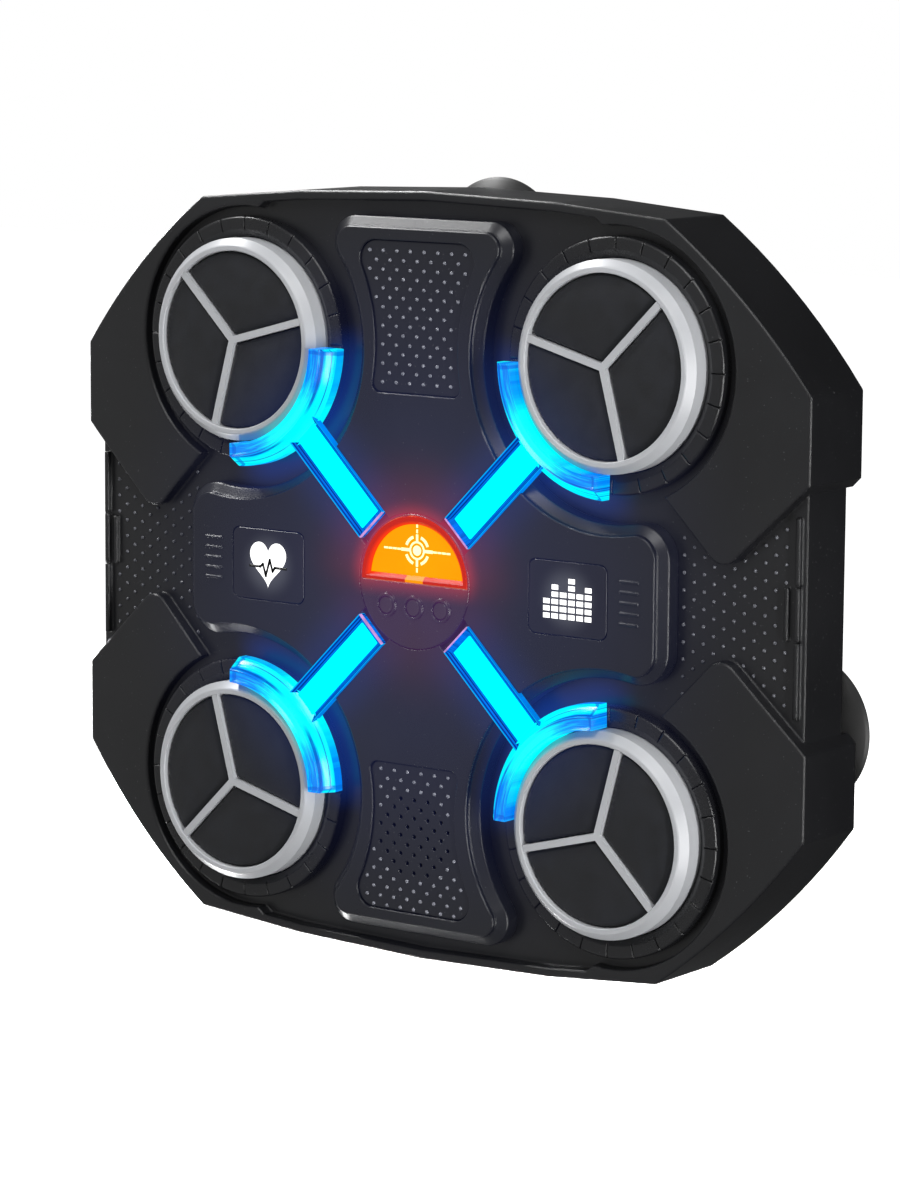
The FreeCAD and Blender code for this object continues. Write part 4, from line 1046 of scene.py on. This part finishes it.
class TARGET_OT_crosshair(bpy.types.Operator):
    """Makes the crosshair printed on the lit lens of the hub"""

    bl_idname = "boxing_target.crosshair"
    bl_label = "Crosshair"

    def straight_marks(self):
        """Names, ends and widths of the straight marks, in millimetres from the middle."""
        marks = []
        for side in (1, -1):
            marks.append(("reticle_arm", (side * 3.9, 0.0), (side * 7.6, 0.0), 1.3))
            for dash in range(4):
                low = side * (8.6 + dash * 2.3)
                marks.append(("reticle_dash", (low, 0.0), (low + side * 1.3, 0.0), 0.8))
            marks.append(("reticle_stem", (0.0, side * 3.9), (0.0, side * 6.3), 1.1))
        for low in (7.6, 9.9):
            marks.append(("reticle_tick", (0.0, low), (0.0, low + 0.9), 0.8))
        marks.append(("reticle_foot", (0.0, -8.8), (0.0, -7.6), 0.8))
        return marks

    def execute(self, context):
        symbols = context.scene.target_symbols
        z = symbols.reticle_z
        _, spot = seen_from_front(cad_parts["hub_lens"], 0.0, z)
        front = spot.y - SYMBOL_SKIN
        back = spot.y + SYMBOL_SKIN
        marks = [disc("reticle_dot", (0.0, z), 2.1 * MM, front, back),
                 arc_bar("reticle_ring", (0.0, z), 3.1 * MM, 3.9 * MM, front, back, 0.0, 360.0, 40)]
        for quarter in range(4):
            marks.append(arc_bar("reticle_arc_%d" % quarter, (0.0, z), 5.2 * MM, 6.4 * MM, front, back,
                                 quarter * 90.0 + 20.0, 50.0, 10))
        for name, first, second, width in self.straight_marks():
            ends = [(x * MM, z + up * MM) for x, up in (first, second)]
            marks.append(bar_between(name, *ends, width * MM, front, back))
        piece = joined(marks, "hub_crosshair")
        finish_with(piece, glowing("crosshair_cream", symbols.cream, 1.6, 0.08))
        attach(piece, "housing")
        return {"FINISHED"}


class TARGET_OT_window_symbols(bpy.types.Operator):
    """Makes the lit heart with its pulse line and the lit level bars"""

    bl_idname = "boxing_target.window_symbols"
    bl_label = "Heart and level bars"

    beat = ((-1.0, 0.0), (-0.42, 0.0), (-0.28, 0.16), (-0.12, -0.50), (0.10, 0.42), (0.26, -0.22),
            (0.38, 0.0), (1.0, 0.0))
    beat_drop = 0.9 * MM
    level_heights = (3, 5, 4, 6, 4, 5)
    column_pitch = 4.1 * MM
    row_pitch = 2.95 * MM
    bar_width = 3.2 * MM
    bar_height = 2.05 * MM

    def heart(self, symbols, centre, front, back):
        """A heart shaped from a disc."""
        start()
        bpy.ops.mesh.primitive_circle_add(
            vertices=72, radius=1.0, fill_type="NGON", rotation=(math.pi / 2, 0.0, 0.0))
        piece = named("window_heart")
        set_place(piece)
        half = symbols.heart_width / 2
        for vertex in piece.data.vertices:
            turn = math.atan2(vertex.co.x, vertex.co.z)
            high = 13 * math.cos(turn) - 5 * math.cos(2 * turn) - 2 * math.cos(3 * turn) - math.cos(4 * turn)
            vertex.co = (half * math.sin(turn) ** 3, 0.0, half * (high + 2.5) / 14.6)
        only(piece)
        edit()
        bpy.ops.mesh.extrude_region_move(TRANSFORM_OT_translate={"value": (0.0, front - back, 0.0)})
        bpy.ops.object.mode_set(mode="OBJECT")
        close_up(piece)
        moved(piece, Matrix.Translation((centre.x, back, centre.z)))
        bevelled(piece, 0.04 * MM, 1)
        return piece

    def pulse(self, symbols, centre, front, back):
        """The dark pulse line across the heart."""
        half = symbols.heart_width / 2
        spots = [(centre.x + x * half, centre.z + z * half * 0.8 - self.beat_drop) for x, z in self.beat]
        bars = [bar_between("pulse_bar", first, second, symbols.line, front, back)
                for first, second in zip(spots, spots[1:])]
        return joined(bars, "window_pulse")

    def levels(self, centre, front, back):
        """Six columns of short bars, filled to different heights."""
        bars = []
        size = (self.bar_width, back - front, self.bar_height)
        for column, filled in enumerate(self.level_heights):
            x = centre.x + (column - 2.5) * self.column_pitch
            for row in range(filled):
                z = centre.z + (row - 2.5) * self.row_pitch
                bars.append(block("level_bar", (x, (front + back) / 2, z), size))
        piece = joined(bars, "window_levels")
        bevelled(piece, 0.05 * MM, 1)
        return piece

    def execute(self, context):
        symbols = context.scene.target_symbols
        white = glowing("symbol_white", symbols.white, 1.7, 0.02)
        dark = moulded("symbol_gap", (0.004, 0.004, 0.005), 0.3, 0.0008, 0.02)
        left = middle("icon_window_left")
        right = middle("icon_window_right")
        face = front_of("icon_window_left")
        heart = self.heart(symbols, left, face - SYMBOL_SKIN, face + SYMBOL_SKIN)
        pulse = self.pulse(symbols, left, face - 0.16 * MM, face - 0.04 * MM)
        levels = self.levels(right, face - SYMBOL_SKIN, face + SYMBOL_SKIN)
        for piece, material in ((heart, white), (pulse, dark), (levels, white)):
            finish_with(piece, material)
            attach(piece, "housing")
        return {"FINISHED"}


# ---------------------------------------------------------------- grip dots
def make_dome(radius):
    """A low dome of a few faces that swells toward -Y."""
    start()
    bpy.ops.mesh.primitive_uv_sphere_add(
        segments=8, ring_count=6, radius=radius, rotation=(math.pi / 2, 0.0, 0.0))
    piece = named("dome")
    set_place(piece)
    edit()
    bpy.ops.mesh.bisect(plane_co=(0.0, radius * 0.25, 0.0), plane_no=(0.0, 1.0, 0.0), use_fill=True,
                        clear_outer=True)
    bpy.ops.object.mode_set(mode="OBJECT")
    close_up(piece)
    return piece


def surface_at(nodes, x, z, margin):
    """Where a ray from the front meets these CAD nodes, if the ground is level all round that spot."""
    found = []
    for dx, dz in ((0.0, 0.0), (margin, 0.0), (-margin, 0.0), (0.0, margin), (0.0, -margin)):
        best = None
        for node in nodes:
            hit, spot = seen_from_front(node, x + dx, z + dz)
            if hit and (best is None or spot.y < best[0].y):
                best = (spot, node)
        if best is None:
            return None
        found.append(best)
    middle_spot, owner = found[0]
    level = all(abs(spot.y - middle_spot.y) < 0.25 * MM and node == owner for spot, node in found)
    return (middle_spot, owner) if level else None


def scatter(dome, spots, name):
    """One mesh with a copy of the dome at every spot."""
    mesh = bmesh.new()
    for spot in spots:
        twin = dome.data.copy()
        twin.transform(Matrix.Translation(spot))
        mesh.from_mesh(twin)
        bpy.data.meshes.remove(twin)
    data = bpy.data.meshes.new(name)
    mesh.to_mesh(data)
    mesh.free()
    piece = bpy.data.objects.new(name, data)
    bpy.context.scene.collection.objects.link(piece)
    smooth(piece, 60.0)
    return piece


class TARGET_OT_grip_dots(bpy.types.Operator):
    """Makes the raised grip dots on the side panels and the two inlays"""

    bl_idname = "boxing_target.grip_dots"
    bl_label = "Grip dots"

    side_start = 126.0 * MM
    side_middle = 150.0 * MM
    side_width = 60.0 * MM
    side_slope = 2.4 * MM
    side_clear = 1.6 * MM
    inlay_slope = 0.3 * MM
    inlay_clear = 1.5 * MM

    def side_spots(self, dots, side):
        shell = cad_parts["front_shell"]
        covers = [shell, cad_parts["center_fascia"]]
        covers += [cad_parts["pad_bezel_" + name] for name in CORNERS]
        floor = surface_at(covers, side * self.side_middle, 0.0, 0.5 * MM)
        if floor is None:
            raise RuntimeError("no side panel found")
        spots = []
        columns = int(self.side_width / dots.side_pitch)
        for column in range(columns):
            x = side * (self.side_start + column * dots.side_pitch)
            for row in range(-10, 11):
                z = (row + (0.5 if column % 2 else 0.0)) * dots.side_step
                found = surface_at(covers, x, z, self.side_clear)
                if found and found[1] == shell and abs(found[0].y - floor[0].y) < self.side_slope:
                    spots.append(found[0])
        return spots

    def inlay_spots(self, dots, node, centre_z):
        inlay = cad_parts[node]
        spots = []
        for row in range(-9, 10):
            for column in range(-4, 5):
                x = column * dots.inlay_step + (dots.inlay_step / 2 if row % 2 else 0.0)
                z = centre_z + row * dots.inlay_pitch
                found = surface_at([inlay], x, z, self.inlay_clear)
                if found and abs(found[0].y - front_of(node)) < self.inlay_slope:
                    spots.append(found[0])
        return spots

    def execute(self, context):
        dots = context.scene.target_dots
        finish = context.scene.target_finish
        dome = make_dome(dots.dot_radius)
        shade = finish.shell
        # Both dot materials are painted many times lighter than the shell they stand on: a painted highlight
        # on the domes. The side dots get a dimmer copy of it, a painted shade.
        painted_highlight_dots = moulded("dot_grey", lighter(shade, 24.0), 0.22, finish.grain, 0.04, lit=True)
        plain = moulded("dot_black", lighter(shade, 12.0), 0.22, finish.grain, 0.04, lit=True)
        groups = {
            "side_dots_right": self.side_spots(dots, 1),
            "side_dots_left": self.side_spots(dots, -1),
            "upper_inlay_dots": self.inlay_spots(dots, "upper_inlay", middle("upper_inlay").z),
            "speaker_grille_dots": self.inlay_spots(dots, "speaker_grille", middle("speaker").z),
        }
        for name, spots in groups.items():
            if len(spots) < 10:
                raise RuntimeError("too few dots for " + name)
            piece = scatter(dome, spots, name)
            # Side dots take the dimmer painted highlight, inlay dots the brighter painted highlight.
            if name.startswith("side"):
                finish_with(piece, plain)
            else:
                finish_with(piece, painted_highlight_dots)
            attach(piece, "housing")
        bpy.data.objects.remove(dome)
        return {"FINISHED"}


# ---------------------------------------------------------------- stage
class TARGET_OT_stage(bpy.types.Operator):
    """Makes the floor, the lights and the camera"""

    bl_idname = "boxing_target.stage"
    bl_label = "Stage"

    aim = Vector((0.0, -0.05, 0.0))
    softboxes = {
        "key": ((0.50, -1.10, 1.25), (1.1, 0.7)),
        "top": ((-0.93, 0.06, 1.18), (1.2, 0.18)),
        "side": ((1.46, -0.52, -0.23), (0.2, 1.2)),
        "rear": ((-1.26, 0.94, -0.24), (0.25, 1.4)),
        "low": ((-0.93, 0.45, -1.10), (1.2, 0.18)),
    }

    def camera(self, stage):
        data = bpy.data.cameras.new("stage_camera")
        data.lens = stage.lens
        data.sensor_width = 36.0
        data.clip_start = 0.05
        data.clip_end = 20.0
        piece = bpy.data.objects.new("stage_camera", data)
        bpy.context.scene.collection.objects.link(piece)
        away = Vector((math.sin(stage.azimuth) * math.cos(stage.elevation),
                       -math.cos(stage.azimuth) * math.cos(stage.elevation), math.sin(stage.elevation)))
        right = (-away).cross(Vector((0.0, 0.0, 1.0))).normalized()
        up = right.cross(-away).normalized()
        leaned_right = right * math.cos(stage.roll) + up * math.sin(stage.roll)
        leaned_up = up * math.cos(stage.roll) - right * math.sin(stage.roll)
        turn = Matrix((leaned_right, leaned_up, away)).transposed().to_4x4()
        spot = Vector(stage.target) + away * stage.distance
        piece.matrix_world = Matrix.Translation(spot) @ turn
        bpy.context.scene.camera = piece

    def softbox(self, name, spot, size, watts):
        data = bpy.data.lights.new(name, "AREA")
        data.shape = "RECTANGLE"
        data.size, data.size_y = size
        data.energy = watts
        piece = bpy.data.objects.new(name, data)
        bpy.context.scene.collection.objects.link(piece)
        piece.location = spot
        piece.rotation_euler = (self.aim - Vector(spot)).to_track_quat("-Z", "Y").to_euler()
        piece.visible_camera = False

    def room(self, stage):
        """A white room that lights the target gently, brighter in front than behind."""
        world = bpy.data.worlds.new("stage_room")
        world.use_nodes = True
        bpy.context.scene.world = world
        tree = Tree(world.node_tree)
        tree.tree.nodes.clear()
        source = tree.add("ShaderNodeTexCoord").outputs["Generated"]
        facing = {0: source, 1: (-0.59, -0.79, -0.05)}
        toward = tree.add("ShaderNodeVectorMath", facing, operation="DOT_PRODUCT").outputs["Value"]
        brightness = tree.eased(toward, -0.35, 1.0, stage.back_room, stage.front_room)
        lighting = tree.add("ShaderNodeBackground", {"Strength": brightness})
        seen = tree.add("ShaderNodeBackground", {"Color": (1.0, 1.0, 1.0)})
        rays = tree.add("ShaderNodeLightPath")
        choose = tree.add("ShaderNodeMixShader", {
            "Fac": rays.outputs["Is Camera Ray"], 1: lighting.outputs["Background"],
            2: seen.outputs["Background"]})
        tree.add("ShaderNodeOutputWorld", {"Surface": choose.outputs["Shader"]})

    def floor(self, stage):
        start()
        bpy.ops.mesh.primitive_plane_add(size=12.0, location=(0.0, 0.0, CAD_BOX[0][2] - stage.floor_drop))
        piece = named("stage_floor")
        set_place(piece)
        piece.data.materials.append(floor_finish(stage.floor_colour))
        piece.visible_diffuse = False
        piece.visible_glossy = False
        piece.visible_transmission = False
        piece.visible_shadow = False

    def execute(self, context):
        stage = context.scene.target_stage
        self.floor(stage)
        self.room(stage)
        for name, (spot, size) in self.softboxes.items():
            self.softbox("stage_" + name, spot, size, getattr(stage, name + "_power"))
        self.camera(stage)
        scene = context.scene
        scene.view_settings.view_transform = "Standard"
        scene.view_settings.look = "None"
        return {"FINISHED"}


# ---------------------------------------------------------------- panel and registration
OPERATORS = (
    TARGET_OT_stage,
    TARGET_OT_housing_finish,
    TARGET_OT_pad_cushions,
    TARGET_OT_light_guides,
    TARGET_OT_crosshair,
    TARGET_OT_window_symbols,
    TARGET_OT_grip_dots,
)
SETTINGS = {
    "target_stage": StageSettings,
    "target_finish": FinishSettings,
    "target_pads": PadSettings,
    "target_guides": GuideSettings,
    "target_symbols": SymbolSettings,
    "target_dots": DotSettings,
}


class TARGET_PT_panel(bpy.types.Panel):
    """Lists the settings and the pieces of the boxing target"""

    bl_idname = "TARGET_PT_panel"
    bl_label = "Boxing Target"
    bl_space_type = "VIEW_3D"
    bl_region_type = "UI"
    bl_category = "Boxing Target"

    def draw(self, context):
        for operator in OPERATORS:
            self.layout.operator(operator.bl_idname)
        for key, group in SETTINGS.items():
            box = self.layout.box()
            box.label(text=group.__doc__.rstrip("."))
            for name in group.__annotations__:
                box.prop(getattr(context.scene, key), name)


def register():
    for item in (*SETTINGS.values(), *OPERATORS, TARGET_PT_panel):
        bpy.utils.register_class(item)
    for key, group in SETTINGS.items():
        setattr(bpy.types.Scene, key, bpy.props.PointerProperty(type=group))


def unregister():
    for key in SETTINGS:
        delattr(bpy.types.Scene, key)
    for item in reversed((*SETTINGS.values(), *OPERATORS, TARGET_PT_panel)):
        bpy.utils.unregister_class(item)


def main():
    register()
    for operator in OPERATORS:
        group, name = operator.bl_idname.split(".")
        getattr(getattr(bpy.ops, group), name)()
    start()


if __name__ == "__main__":
    main()
